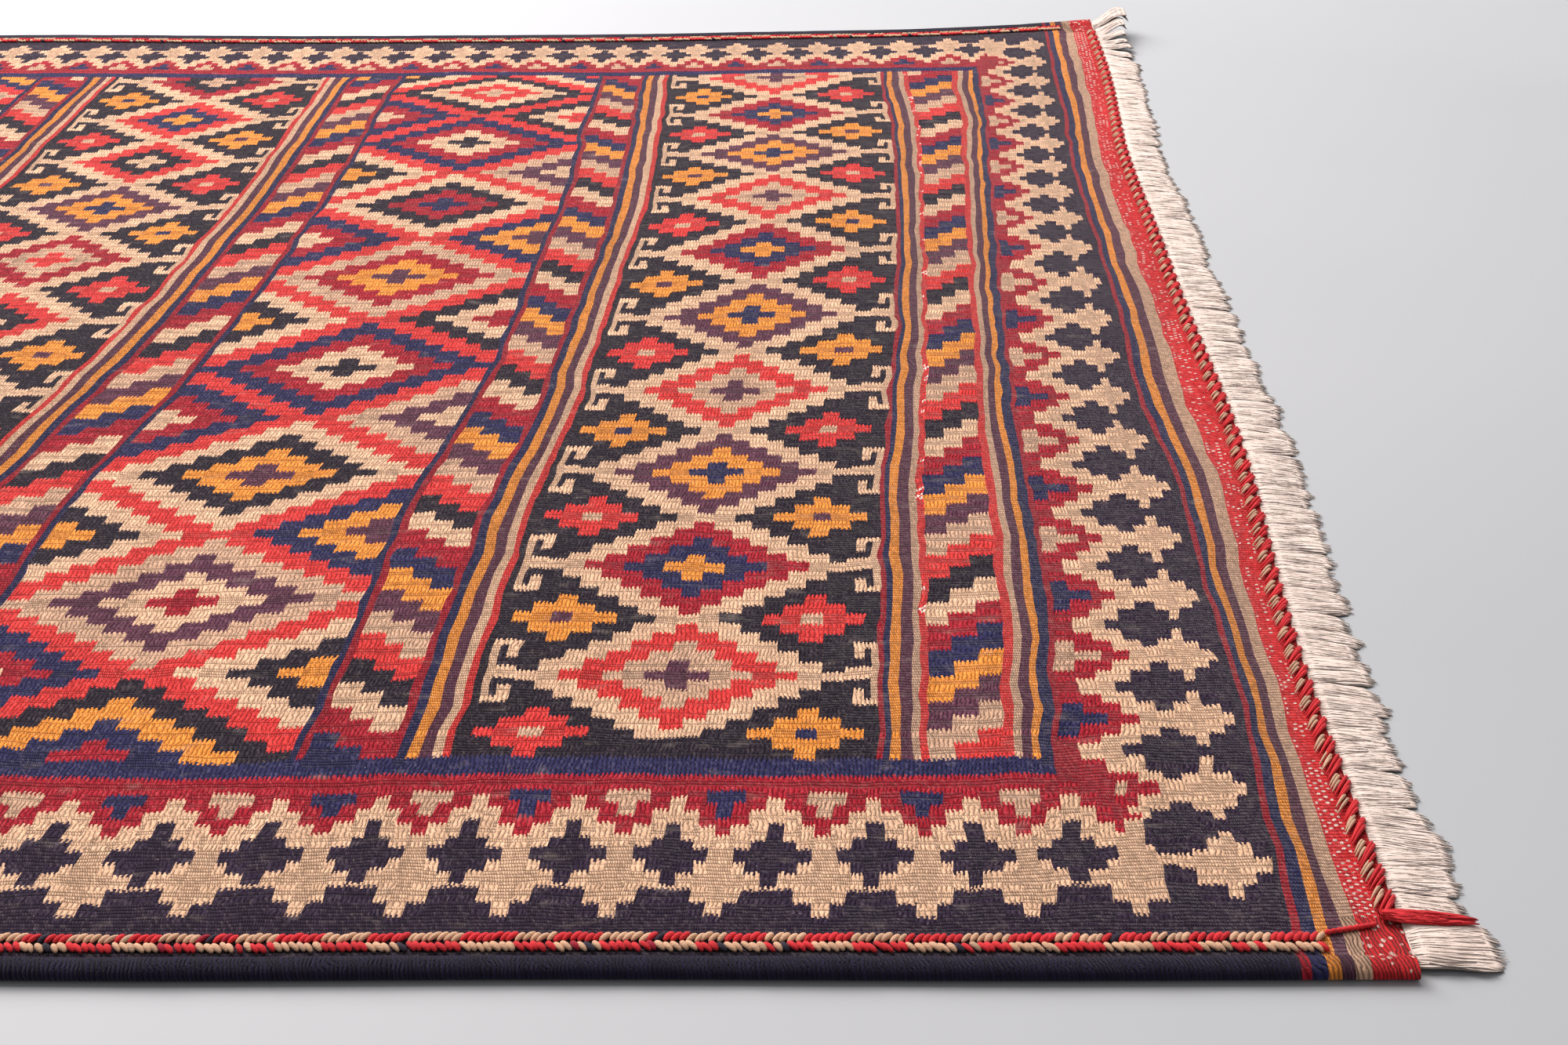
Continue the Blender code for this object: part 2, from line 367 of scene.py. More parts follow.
HOOKED_WIDTH = 0.20675
STEP = 0.0114  # one column of a hooked band
ROW = FIELD_HEIGHT / HOOKED_ROWS
HOOK_WIDE = (HOOKED_WIDTH - 15 * STEP) / 2  # the strip at each side that holds the hooks
# Columns of a hook from the band's side, and what is cream in each, from the diamond's middle up, in millimetres
LEFT_HOOK = (
    (0.0, ()), (0.0042, ((-30, 36),)), (0.0080, ((-30, -24), (-4, 9), (30, 37))),
    (0.0116, ((-31, -13), (-4, 9), (19, 37))),
)
RIGHT_HOOK = (
    (0.0, ((-30, 35),)), (0.0040, ((-31, -25), (-4, 9), (29, 36))),
    (0.0078, ((-31, -15), (-4, 9), (18, 36))), (0.0134, ((-4, 9),)),
)


def hooked_band(start, shift, diamonds=HOOKED):
    """A band of nested diamonds with small stars and hooks beside them, from start along."""

    def star_yarn(column, row):
        star, rest = divmod(row - 2 + HOOKED_PITCH // 2, HOOKED_PITCH)
        off = abs(abs(column) - 6) + abs(rest - HOOKED_PITCH // 2)
        if off > 2 or abs(column) > 8:
            return None
        warm = (star + shift + (column > 0)) % 2 == 0
        if off == 0:
            return yarn("tan" if warm else "purple" if star % 3 else "blue")
        return yarn("red" if warm else "orange")

    def rule(i, row):
        column = i - 7
        number, rest = divmod(row - 8 + HOOKED_PITCH // 2, HOOKED_PITCH)
        far = abs(column) + abs(rest - HOOKED_PITCH // 2)
        if far <= 7 and number >= 0:
            outer, mid, core = diamonds[(number + shift) % len(diamonds)]
            return yarn(core if far <= 1 else mid if far <= 3 else outer if far <= 5 else "cream")
        star = star_yarn(column, row)
        return yarn("charcoal") if star is None else star

    columns = [start + HOOK_WIDE + STEP * k for k in range(16)]
    weave(columns, field_rows(HOOKED_ROWS, "hooked"), with_line(rule, HOOKED_ROWS))

    # The hooks have finer rows than the diamonds
    middles = [ROW * (8.5 + HOOKED_PITCH * n) for n in range(10)]
    tips = [ROW * (2.5 + HOOKED_PITCH * n) for n in range(10)]
    for hook, column, edge, way in ((LEFT_HOOK, -8, start, 1), (RIGHT_HOOK, 8, start + HOOKED_WIDTH, -1)):
        heights = {0.0, FIELD_HEIGHT, *[m + r / 1000 for m in middles for _, runs in hook for run in runs for r in run]}
        heights = [h for h in joined([0.0, FIELD_HEIGHT], sorted(heights)) if 0 <= h <= FIELD_HEIGHT]
        heights = joined(heights, [t + side * ROW / 2 for t in tips for side in (-1, 1) if 0 < t < FIELD_HEIGHT - ROW])
        rows = [
            field_row(h, "hooked") + (draw.uniform(-0.0006, 0.0006) if 0 < h < FIELD_HEIGHT else 0) for h in heights
        ]
        columns = [edge + way * c for c, _ in hook] + [edge + way * HOOK_WIDE]

        def hook_rule(i, j):
            at = (heights[j] + heights[j + 1]) / 2
            near = min(middles, key=lambda m: abs(m - at))
            place = i if way > 0 else len(hook) - 1 - i
            if any(low < (at - near) * 1000 < high for low, high in hook[place][1]):
                return yarn("cream")
            star = star_yarn(column, int(at / ROW)) if place > 1 else None
            return yarn("charcoal") if star is None else star

        weave(sorted(columns), [LINE_MIDDLE, *rows, CLOTH_WIDTH - LINE_MIDDLE], with_line(hook_rule, len(heights) - 1))


NESTED = [  # the yarns of each diamond, from the outside in
    ("charcoal", "orange", "blue", "dark_red"), ("tan", "purple", "cream", "dark_red"),
    ("cream", "charcoal", "orange", "purple"), ("blue", "dark_red", "cream", "charcoal"),
    ("tan", "dark_red", "orange", "purple"), ("cream", "charcoal", "dark_red", "blue"),
    ("blue", "dark_red", "cream", "charcoal"), ("charcoal", "cream", "red", "tan"),
]
RIGHT_HALVES = [  # the yarns of the half diamonds at the right side, and at the left side
    ("cream", "charcoal", "orange"), ("blue", "orange", "purple"), ("tan", "purple", "cream"),
    ("charcoal", "cream", "dark_red"), ("blue", "orange", "purple"), ("tan", "purple", "cream"),
    ("charcoal", "cream", "red"), ("cream", "blue", "red"),
]
LEFT_HALVES = [("blue", "dark_red", "cream"), ("cream", "charcoal", "orange")]
NESTED_PITCH = 16
NESTED_ROWS = 120
NESTED_WIDTH = 0.185


def nested_band(start, shift):
    """A band of large nested diamonds in a red lattice, with half diamonds at its sides."""
    edges = [NESTED_WIDTH * k / 15 for k in range(16)]
    rows = field_rows(NESTED_ROWS, "nested")

    def rule(i, j):
        column = i - 7
        number, rest = divmod(j + NESTED_PITCH // 2, NESTED_PITCH)
        up = rest - NESTED_PITCH // 2
        far = abs(column) + abs(up)
        if far <= 7:
            return yarn(NESTED[(number + shift) % len(NESTED)][3 - far // 2])
        if far <= 9:
            return yarn("red")
        side = number if up > 0 else number - 1
        table = RIGHT_HALVES if column > 0 else LEFT_HALVES
        return yarn(table[(side + shift) % len(table)][2 - (15 - far) // 2])

    weave([start + e for e in edges], rows, with_line(rule, NESTED_ROWS))


STAIR_UP = ("tan", "purple", "orange", "blue", "dark_red", "cream", "charcoal", "red")
STAIR_DOWN = ("blue", "dark_red", "cream", "charcoal", "red", "tan", "purple", "orange")
STAIR_LEFT = ("tan", "red", "charcoal", "cream", "dark_red", "blue", "orange", "purple")


def stair_band(start, width, colours, rows_count, rise, shift=0):
    """A narrow band of three columns, each two units of a colour high, stepping up or down to the right."""
    rows = field_rows(rows_count, "stair", 0.0009)

    def rule(i, j):
        return yarn(colours[((j - shift - rise * i) // 2) % len(colours)])

    weave([start + width * k / 3 for k in range(4)], rows, with_line(rule, rows_count))


def lines(start, table):
    """Thin lines one after another, from start along. Returns where the last one ends."""
    rows = [LINE_MIDDLE, *[field_row(h, "stair") for h in steps(0, FIELD_HEIGHT)], CLOTH_WIDTH - LINE_MIDDLE]
    count = len(rows) - 3
    for name, width in table:
        weave([start, start + width], rows, with_line(lambda i, j: yarn(name), count))
        start += width
    return start


def mended_line(start, width):
    """A thin red line where small white knots show in places."""
    rows = [field_row(h, "stair") for h in steps(0, FIELD_HEIGHT, 0.0024)]
    marks, left = [], 0
    for _ in rows:
        left = left - 1 if left else draw.randint(1, 3) if draw.random() < 0.07 else 0
        marks.append(yarn("cotton" if left and draw.random() < 0.7 else "red"))
    for half in (0, 1):
        edges = [start + width * (half * 0.5), start + width * (half * 0.5 + 0.5)]
        weave(edges, [LINE_MIDDLE, *rows, CLOTH_WIDTH - LINE_MIDDLE],
              with_line(lambda i, j: marks[j] if (j + half) % 2 else yarn("red"), len(rows) - 1))
    return start + width


# The field's bands from the left end's star border to the right end's
at = lines(-HALF + BANDS_START, EDGE_LINES)
stair_band(at, 0.037, STAIR_UP, 91, -1)
at = lines(at + 0.037, FIRST_LINES)
for repeat in range(4):
    hooked_band(at, (0, 3, 0, 0)[repeat], HOOKED_SECOND if repeat == 2 else HOOKED)
    at += HOOKED_WIDTH
    if repeat == 3:
        break
    at = lines(at, DIAMOND_LINES)
    stair_band(at, 0.040, STAIR_LEFT, 98, 1, 5)
    at = lines(at + 0.040, WIDE_LINES)
    nested_band(at, (2, 5, 0)[repeat])
    at = lines(at + NESTED_WIDTH, tuple(reversed(WIDE_LINES)))
    stair_band(at, 0.038, STAIR_DOWN, 99, -1)
    at = lines(at + 0.038, tuple(reversed(DIAMOND_LINES)))
at = mended_line(lines(at, tuple(reversed(FIRST_LINES))[:-1]), FIRST_LINES[0][1])
stair_band(at, 0.037, STAIR_UP, 91, 1)
lines(at + 0.037, tuple(reversed(EDGE_LINES)))

# The star border: each row of the chart goes from the middle of a dark star to the middle of the T beside
# it. A row ends at its distance from the edge of the cloth, in millimetres, and the first one starts at the
# blue line.
BLUE_LINE_SIDE = 0.147
BLUE_LINE_END = 0.137
CHART_YARNS = {"N": "navy", "C": "cream", "R": "dark_red"}
SIDE_CHART = (
    (134, "RRRRRRRRRRRR"), (129, "RRRRRRRTTTTT"), (124, "CCRRRRRTTTTT"), (119, "CCRRRRRRRRTT"),
    (114, "CCCCCCRRRRTT"), (110, "CCCCCCRRRRRR"), (108, "NNCCCCRRRRRR"), (100, "NNCCCCCCCCRR"),
    (97, "NNCCCCCCCCCC"), (90, "NNNNNCCCCCCC"), (80, "NNNNNNNNNCCC"), (72.5, "NNNNNNCCCCCC"),
    (63, "NNCCCCCCCCCC"), (61, "CCCCCCCCCCCC"), (50.5, "NNNNNNCCCCCC"), (41.5, "NNNNNNNNNNCC"),
)
END_CHART = (
    (133.8, "RRRRRRRRRRRR"), (124.4, "RRRRRRTTTTTT"), (114.5, "CCCRRRRRRRTT"), (111.5, "CCCCCCRRRRTT"),
    (106.0, "CCCCCCRRRRRR"), (97.8, "NNCCCCCCCCRR"), (88.8, "NNNNNNCCCCCC"), (79.4, "NNNNNNNNNCCC"),
    (72, "NNNNNNCCCCCC"), (66.3, "NNCCCCCCCCCC"), (59, "NNNNNNNCCCCC"), (54, "NNNNNNNNNNCC"),
)
SIDE_ROWS = [BLUE_LINE_SIDE, *[edge / 1000 for edge, _ in SIDE_CHART]]  # from the blue line out
END_COLUMNS = [BLUE_LINE_END, *[edge / 1000 for edge, _ in END_CHART]]
CELLS = 12
FIRST_STARS = (0.132, 0.140)  # the last star of the near and of the far border is this far from the end
PITCHES = (2 * (HALF - FIRST_STARS[0]) / 44, 2 * (HALF - FIRST_STARS[1]) / 49)
FIRST_END_STAR = 0.100
END_STAR_PITCH = (CLOTH_WIDTH - 2 * FIRST_END_STAR) / 20


def charted(chart, row, along, pitch, first):
    """The yarn of a star border's row, at this distance along it."""
    turn = (along - first) / pitch
    number = math.floor(turn + 0.5)
    cell = min(CELLS - 1, int(abs(turn - number) * 2 * CELLS))
    mark = chart[row][1][cell]
    if mark == "T":
        return yarn("tan" if math.floor(turn) % 2 == (chart is SIDE_CHART) else "blue")
    return yarn(CHART_YARNS[mark])


def chart_edges(start, end, pitch, first):
    """The cell edges of a star border between two distances along it."""
    small = pitch / 2 / CELLS
    k = math.ceil((start - first) / small + 0.01)
    edges = [start]
    while first + k * small < end - small * 0.01:
        edges.append(first + k * small)
        k += 1
    return edges + [end]


def band_of(edges, distance):
    """The number of the chart row that holds this distance, with edges from the inside out."""
    return next((k for k, edge in enumerate(edges[1:]) if distance > edge), None)


# A corner's own cells, as (yarn, from and to from the end, from and to from the side) in millimetres; a
# later one lies over an earlier one. No T stands in the corner.
CORNER_DEPTH = 0.160  # from the side
CORNER = (
    ("navy", 0, 95.5, 0, 112), ("navy", 95.5, 101.5, 90, 110), ("cream", 77.5, 82.5, 62, 85),
    ("cream", 70.5, 77.5, 60, 94), ("cream", 65.5, 70.5, 53, 99), ("cream", 59.5, 65.5, 60, 92),
    ("cream", 52.5, 59.5, 69, 81), ("cream", 82.5, 88, 71, 83), ("cream", 88, 99, 76, 83),
    ("dark_red", 100.5, 106.5, 120, 148), ("dark_red", 92.5, 100.5, 129.5, 140), ("tan", 106.5, 112, 127, 138),
)
END_CHART_HOLDS = 0.098  # nearer to the end than this it is the end's border, and past it the nearer border
END_CHART_STOPS = 0.049  # nearer to the side than this the end's border is plain


def corner_yarn(from_end, side):
    """The yarn of the corner's own cell at a place, if one is there."""
    return next((yarn(name) for name, *cell in reversed(CORNER)
                 if cell[0] <= from_end * 1000 < cell[1] and cell[2] <= side * 1000 < cell[3]), None)


def border_yarn(along, across):
    """The yarn of the borders' frame at a place; the end border keeps the corner's two stars."""
    from_end, side = HALF - abs(along), min(across, CLOTH_WIDTH - across)
    if side > BLUE_LINE_SIDE and from_end > BLUE_LINE_END:
        return yarn("blue")
    if from_end < BLUE_LINE_END and side < CORNER_DEPTH:
        own = corner_yarn(from_end, side)
        if own is not None:
            return own
        found = frame_yarn(along, across, from_end, side)
        return yarn("dark_red") if found in (yarn("blue"), yarn("tan")) else found
    return frame_yarn(along, across, from_end, side)


def frame_yarn(along, across, from_end, side):
    """The yarn of the end's or the side's chart at a place."""
    if from_end < END_CHART_HOLDS or BLUE_LINE_END - from_end > BLUE_LINE_SIDE - side:
        column = band_of(END_COLUMNS, from_end)
        if column is None or side < END_CHART_STOPS:
            return yarn("navy")
        return charted(END_CHART, column, across, END_STAR_PITCH, FIRST_END_STAR)
    row = band_of(SIDE_ROWS, side)
    if row is None:
        return yarn("navy")
    far = across > CLOTH_WIDTH / 2
    if from_end < FIRST_STARS[far] - PITCHES[far] / 2 and 6 <= row <= 12:
        return yarn("cream")
    return charted(SIDE_CHART, row, along, PITCHES[far], HALF - FIRST_STARS[far])


def weave_border(columns, rows):
    """Adds a block of the borders' frame."""
    placed = [paced(r, "border") for r in rows]
    weave(columns, placed, lambda i, j: border_yarn((columns[i] + columns[i + 1]) / 2, (rows[j] + rows[j + 1]) / 2))


for far in (0, 1):
    rows = [BRAID_BED, 0.0370, *reversed(SIDE_ROWS), LINE_MIDDLE]
    if far:
        rows = [CLOTH_WIDTH - r for r in reversed(rows)]
    first = HALF - FIRST_STARS[far]
    weave_border(chart_edges(-HALF + BANDS_START, HALF - BANDS_START, PITCHES[far], first), rows)
    # The corners, where both borders' cells are needed
    for end in (-1, 1):
        inner, outer = sorted((end * (HALF - BANDS_START), end * (HALF - STRIPES_WIDTH)))
        columns = [end * (HALF - c) for c in (STRIPES_WIDTH, *END_COLUMNS, BANDS_START)]
        columns = joined(columns, chart_edges(inner, outer, PITCHES[far], first))
        low, high = sorted((rows[1], rows[-2]))
        weave_border(columns, joined(rows, chart_edges(low, high, END_STAR_PITCH, FIRST_END_STAR)))

for end in (-1, 1):
    rows = chart_edges(LINE_MIDDLE, CLOTH_WIDTH - LINE_MIDDLE, END_STAR_PITCH, FIRST_END_STAR)
    weave_border(sorted(end * (HALF - c) for c in (STRIPES_WIDTH, *END_COLUMNS, BANDS_START)), rows)

# The end stripes run over the whole width, selvedges included; the plain red one is outermost
END_STRIPES = (
    ("end_red", 0.0215), ("tan", 0.0075), ("purple", 0.006), ("orange", 0.005), ("blue", 0.005),
    ("dark_red", 0.0035), ("navy", 0.0015),
)


def weave_roll(xs, near, name):
    """Adds a length of one selvedge's roll, in one yarn."""
    roll_rows = [s for s, _ in ROLL] if near else [CLOTH_WIDTH - s for s, _ in reversed(ROLL)]
    for pair in zip(roll_rows, roll_rows[1:]):
        weave(xs, pair, lambda i, j: yarn(name))


middle_rows = steps(SELVEDGE_WIDTH, CLOTH_WIDTH - SELVEDGE_WIDTH)
for end in (-1, 1):
    edge = HALF
    for name, width in END_STRIPES:
        xs = sorted((end * edge, end * (edge - width)))
        weave(xs, middle_rows, lambda i, j: yarn(name))
        weave_roll(xs, False, name)
        weave_roll(xs, True, name)
        edge -= width

# The rolls, and the strips of plain cloth under the edge braids
along_steps = steps(-HALF + STRIPES_WIDTH, HALF - STRIPES_WIDTH, 0.012)
for near in (True, False):
    strip = [SELVEDGE_WIDTH, BRAID_BED] if near else [CLOTH_WIDTH - BRAID_BED, CLOTH_WIDTH - SELVEDGE_WIDTH]
    weave(steps(-HALF + STRIPES_WIDTH, HALF - STRIPES_WIDTH), strip, lambda i, j: yarn("navy"))
    for xs in zip(along_steps, along_steps[1:]):
        weave_roll(xs, near, "edge")

# How far the woven lines lie from even towards the right end, in millimetres: by place from that end, at
# each place across
WOVEN_ACROSS = (0.03, 0.17, 0.29, 0.42, 0.54, 0.68, 0.84, 1.02, 1.20, 1.35, 1.48)
WOVEN_LINES = (
    (0.0375, (3.5, 4.5, 5.5, 3.5, 1.5, -1, -4, -4.5, -2.5, 0.5, -0.5)),
    (0.0468, (0.8, 6.3, 7.5, 5.3, 1.4, -0.3, -2.3, -4.1, -2.3, -0.6, -0.3)),
    (0.1450, (3, 5, 9, 9, 7, 8, 10, 15, 17, 17, 15)),
    (0.2135, (5.5, 9.5, 8.5, 9.5, 13.5, 18.5, 21.5, 21.5, 17.5, 10.5, 7.5)),
    (0.4470, (17, 17, 18, 19, 23, 27, 29, 29, 21, 13, 11)),
    (0.5038, (17.8, 17.8, 19.8, 17.8, 25.8, 33.8, 31.8, 33.8, 23.8, 21.8, 19.8)),
    (0.7513, (3.3, 3.3, 5.3, 3.3, 11.3, 22.3, 25.3, 27.3, 22.3, 19.3, 17.3)),
    (0.9930, (2, 2, 4, 2, 10, 21, 24, 26, 20, 15, 13)),
)
WOVEN_STOP = 1.9  # from here on the lines are even


def smooth(share):
    """A share from 0 to 1, eased at both ends."""
    share = min(1.0, max(0.0, share))
    return share * share * (3 - 2 * share)


def through(places, values, at):
    """A smooth curve through values at rising places."""
    k = max(0, min(len(places) - 2, bisect.bisect_right(places, at) - 1))
    slopes = []
    for m in (k, k + 1):
        low, high = max(0, m - 1), min(len(places) - 1, m + 1)
        slopes.append((values[high] - values[low]) / (places[high] - places[low]))
    size = places[k + 1] - places[k]
    t = min(1.0, max(0.0, (at - places[k]) / size))
    return (values[k] * (1 + 2 * t) * (1 - t) ** 2 + values[k + 1] * t * t * (3 - 2 * t)
            + size * t * (1 - t) * (slopes[0] * (1 - t) - slopes[1] * t))


WOBBLE_SEED = 5
noise.seed_set(WOBBLE_SEED)  # without it noise_vector() starts from the clock, and each run differs


def wander(along, side):
    """How far the weaving wanders from straight at a place of the pattern, as (along, across)."""
    from_right, from_left = HALF - along, HALF + along
    own = wave(END_WAVES, side - CLOTH_WIDTH / 2, along) + shift_x  # what laid() adds
    low, high = (0.0, None), (WOVEN_STOP, None)
    for line in WOVEN_LINES:
        if line[0] <= from_right:
            low = line
        elif high[1] is None:
            high = line
    lean = [own if line[1] is None else through(WOVEN_ACROSS, line[1], side) / 1000 for line in (low, high)]
    share = (from_right - low[0]) / (high[0] - low[0])
    share = smooth(share) if high[1] is None else min(1.0, share)
    lean = lean[0] + (lean[1] - lean[0]) * share - own
    edge = smooth(min(from_right, from_left) / 0.012) * smooth((min(side, CLOTH_WIDTH - side) - 0.028) / 0.006)
    wobble = Vector((0.0, 0.0, 0.0))
    for scale, size in ((1 / 0.15, 0.0030), (1 / 0.030, 0.0026), (1 / 0.012, 0.0013)):
        wobble += noise.noise_vector(Vector((along * scale, side * scale, scale * 0.37))) * size
    return lean + wobble.x * edge, wobble.y * edge * smooth(min(side, CLOTH_WIDTH - side) / 0.06)


ROLL_HEIGHTS = {whole(s): h for s, h in ROLL}
FAR_ROLL_HEIGHT = 0.0045  # the far roll is pressed flatter


def cloth_place(column, row):
    """Where a corner of the pattern lies, on top of the cloth or round its roll."""
    along, side = column * UNIT, row * UNIT
    near = side < CLOTH_WIDTH / 2
    from_side = row if near else whole(CLOTH_WIDTH) - row
    x, y = wander(along, min(CLOTH_WIDTH - SELVEDGE_WIDTH, max(SELVEDGE_WIDTH, side)))
    if from_side <= whole(SELVEDGE_WIDTH):
        height = ROLL_HEIGHTS.get(from_side, CLOTH_THICK)
        width = abs(from_side) * UNIT
        lumps = 1.0
        for size, length, turns, seed in ((0.10, 0.034, 40, 3.1), (0.07, 0.009, 60, 7.7)):
            lumps += size * noise.noise(Vector((along / length, side * turns, seed)))
        height = height * lumps if from_side >= 0 else height
        if not near:
            height = min(height, FAR_ROLL_HEIGHT)
        return laid(along + x, width if near else CLOTH_WIDTH - width, height)
    return laid(along + x, side + y, CLOTH_THICK)


for west, east, south, north, *_ in faces_flat:
    for column in (west, east):
        for row in (south, north):
            on_column[column].add(row)
            on_row[row].add(column)

UNDER_STEP = 0.030
under_columns = [whole(a) for a in sorted({*steps(-HALF, HALF, UNDER_STEP)})]
under_rows = [whole(s) for s in steps(SELVEDGE_WIDTH, CLOTH_WIDTH - SELVEDGE_WIDTH, UNDER_STEP)]
edge_rows = (whole(-SELVEDGE_WIDTH), whole(CLOTH_WIDTH + SELVEDGE_WIDTH))
for row in edge_rows:
    on_row[row].update(under_columns)
for column in (under_columns[0], under_columns[-1]):
    on_column[column].update(under_rows)
sorted_column = {key: sorted(values) for key, values in on_column.items()}
sorted_row = {key: sorted(values) for key, values in on_row.items()}

points, corner_at, flat_at = [], {}, []


def corner(column, row, under=False):
    """The number of a mesh corner at a place of the pattern, made once and then shared."""
    key = (column, row, under)
    if key not in corner_at:
        corner_at[key] = len(points)
        points.append(laid(column * UNIT, row * UNIT, UNDER_GAP) if under else cloth_place(column, row))
        flat_at.append((column * UNIT, row * UNIT))
    return corner_at[key]


def between(values, low, high):
    """The values that lie inside a span."""
    return values[bisect.bisect_right(values, low):bisect.bisect_left(values, high)]


# The corners of the cloth are overcast too, up to these distances from the side and from the end
CORNER_OVERCAST = ((BRAID_BED, 0.030), (0.039, 0.011))

polygons, yarns_of, span_of, finish_of = [], [], [], []
for west, east, south, north, own, below, above in faces_flat:
    ring = [(west, south)]
    ring += [(c, south) for c in between(sorted_row[south], west, east)] + [(east, south)]
    ring += [(east, r) for r in between(sorted_column[east], south, north)] + [(east, north)]
    ring += [(c, north) for c in reversed(between(sorted_row[north], west, east))] + [(west, north)]
    ring += [(west, r) for r in reversed(between(sorted_column[west], south, north))]
    polygons.append([corner(*place) for place in ring])
    yarns_of.append((own, below, above))
    span_of.append((south * UNIT, north * UNIT, 0.0))
    from_side = min((south + north) / 2, whole(CLOTH_WIDTH) - (south + north) / 2)
    from_end = whole(HALF) - abs(west + east) / 2
    in_corner = any(from_side < whole(s) and from_end < whole(e) for s, e in CORNER_OVERCAST)
    finish_of.append(1 if from_side < whole(SELVEDGE_WIDTH) or in_corner else 0)

# The underside, which is plain, and the cut ends under the end braids
plain = (yarn("dark_red"),) * 3
seam = {whole(SELVEDGE_WIDTH): edge_rows[0], whole(CLOTH_WIDTH - SELVEDGE_WIDTH): edge_rows[1]}


def under_corner(column, row):
    """A corner of the underside; its two long sides are the rolls' last corners."""
    return corner(column, seam[row]) if row in seam else corner(column, row, True)


for west, east in zip(under_columns, under_columns[1:]):
    for south, north in zip(under_rows, under_rows[1:]):
        ring = [under_corner(west, south), under_corner(west, north)]
        if north in seam:
            ring += [corner(c, seam[north]) for c in between(sorted_row[seam[north]], west, east)]
        ring += [under_corner(east, north), under_corner(east, south)]
        if south in seam:
            ring += [corner(c, seam[south]) for c in reversed(between(sorted_row[seam[south]], west, east))]
        polygons.append(ring)
        yarns_of.append(plain)
        span_of.append((-1.0, 1.0, 0.0))
        finish_of.append(0)
for column in (under_columns[0], under_columns[-1]):
    made = []
    for south, north in zip(under_rows, under_rows[1:]):
        top = [corner(column, r) for r in [south, *between(sorted_column[column], south, north), north]]
        made.append([under_corner(column, north), under_corner(column, south), *top])
    low = [r for r in sorted_column[column] if r <= whole(SELVEDGE_WIDTH)]
    high = [r for r in sorted_column[column] if r >= whole(CLOTH_WIDTH - SELVEDGE_WIDTH)]
    made += [[corner(column, r) for r in low], [corner(column, r) for r in high]]
    for ring in made:
        polygons.append(ring if column > 0 else ring[::-1])
        yarns_of.append((yarn("tan"),) * 3)
        span_of.append((-1.0, 1.0, 0.0))
        finish_of.append(0)

cloth_mesh = bpy.data.meshes.new("kilim_cloth")
cloth_mesh.from_pydata(points, [], polygons)
flat_map = cloth_mesh.uv_layers.new(name="flat")
flat_map.data.foreach_set("uv", [value for loop in cloth_mesh.loops for value in flat_at[loop.vertex_index]])
for name, values in (("yarns", yarns_of), ("span", span_of)):
    layer = cloth_mesh.attributes.new(name, "FLOAT_VECTOR", "FACE")
    layer.data.foreach_set("vector", [float(v) for triple in values for v in triple])
cloth_mesh.polygons.foreach_set("material_index", finish_of)
cloth_mesh.shade_smooth()
cloth = bpy.data.objects.new("kilim_cloth", cloth_mesh)
bpy.context.scene.collection.objects.link(cloth)

WEFT = 0.0011  # one loop of weft, along the rug
WARP = 0.0024  # one ridge over a warp, across the rug
DOT_PITCH = (0.0031, 0.0043)  # white dots of the end strips, along and across
DOT_HALF = (0.0011, 0.0008)  # half of a dot's size


def yarn_ramp(tree, number, yarns=YARNS):
    """The colour of a yarn from its number."""
    codes = list(yarns.values())
    place = node(tree, "Math", {0: number, 1: 0.5}, operation="ADD")
    place = node(tree, "Math", {0: place, 1: float(len(codes))}, operation="DIVIDE")
    ramp = node(tree, "ValToRGB", {"Fac": place})
    ramp.color_ramp.interpolation = "CONSTANT"
    stops = ramp.color_ramp.elements
    stops[0].color, stops[1].color = linear(codes[0]), linear(codes[1])
    stops[1].position = 1 / len(codes)
    for k, code in enumerate(codes[2:], 2):
        stops.new(k / len(codes)).color = linear(code)
    return ramp


def in_repeat(tree, turns):
    """Where a place lies in its own repeat, from -0.5 to 0.5."""
    part = node(tree, "Math", {0: turns}, operation="FRACT")
    return node(tree, "Math", {0: part, 1: 0.5}, operation="SUBTRACT")


def round_back(tree, off, fall=-4.0, top=1.0):
    """The height of a round yarn at a place in its repeat, highest in the middle."""
    square = node(tree, "Math", {0: off, 1: off}, operation="MULTIPLY")
    return node(tree, "Math", {0: square, 1: fall, 2: top}, operation="MULTIPLY_ADD")


# Hand-spun wool, weft-faced: small slanted loops in brick order over ridged warps, matt, with each
# dyed patch a little uneven along the wefts, and painted shade darkening the colour between the loops.
# Cotton warps show as white dots in the loosely beaten red end strips.
wool, tree = new_material("weft_faced_wool")
flat = node(tree, "SeparateXYZ", {0: node(tree, "UVMap", uv_map="flat")})
along, side = flat.outputs[0], flat.outputs[1]
place = node(tree, "CombineXYZ", {0: along, 1: side, 2: 0.0})
yarns = node(tree, "SeparateXYZ", {0: node(tree, "Attribute", attribute_name="yarns").outputs["Vector"]})
span = node(tree, "SeparateXYZ", {0: node(tree, "Attribute", attribute_name="span").outputs["Vector"]})
uneven = node(tree, "TexNoise", {"Vector": place, "Scale": 260.0, "Detail": 1.0})  # over about 4 mm
uneven = node(tree, "Math", {0: uneven.outputs["Fac"], 1: 0.5}, operation="SUBTRACT")
warp = node(tree, "Math", {0: side, 1: WARP}, operation="DIVIDE")
warp = node(tree, "Math", {0: uneven, 1: 0.35, 2: warp}, operation="MULTIPLY_ADD")
ridge = node(tree, "Math", {0: warp}, operation="FLOOR")
over = in_repeat(tree, warp)
weft = node(tree, "Math", {0: along, 1: WEFT}, operation="DIVIDE")
for source, amount in ((ridge, 0.5), (over, 0.75), (uneven, 1.3)):  # brick order, slant and hand
    weft = node(tree, "Math", {0: source, 1: amount, 2: weft}, operation="MULTIPLY_ADD")
loop = node(tree, "Math", {0: weft}, operation="FLOOR")
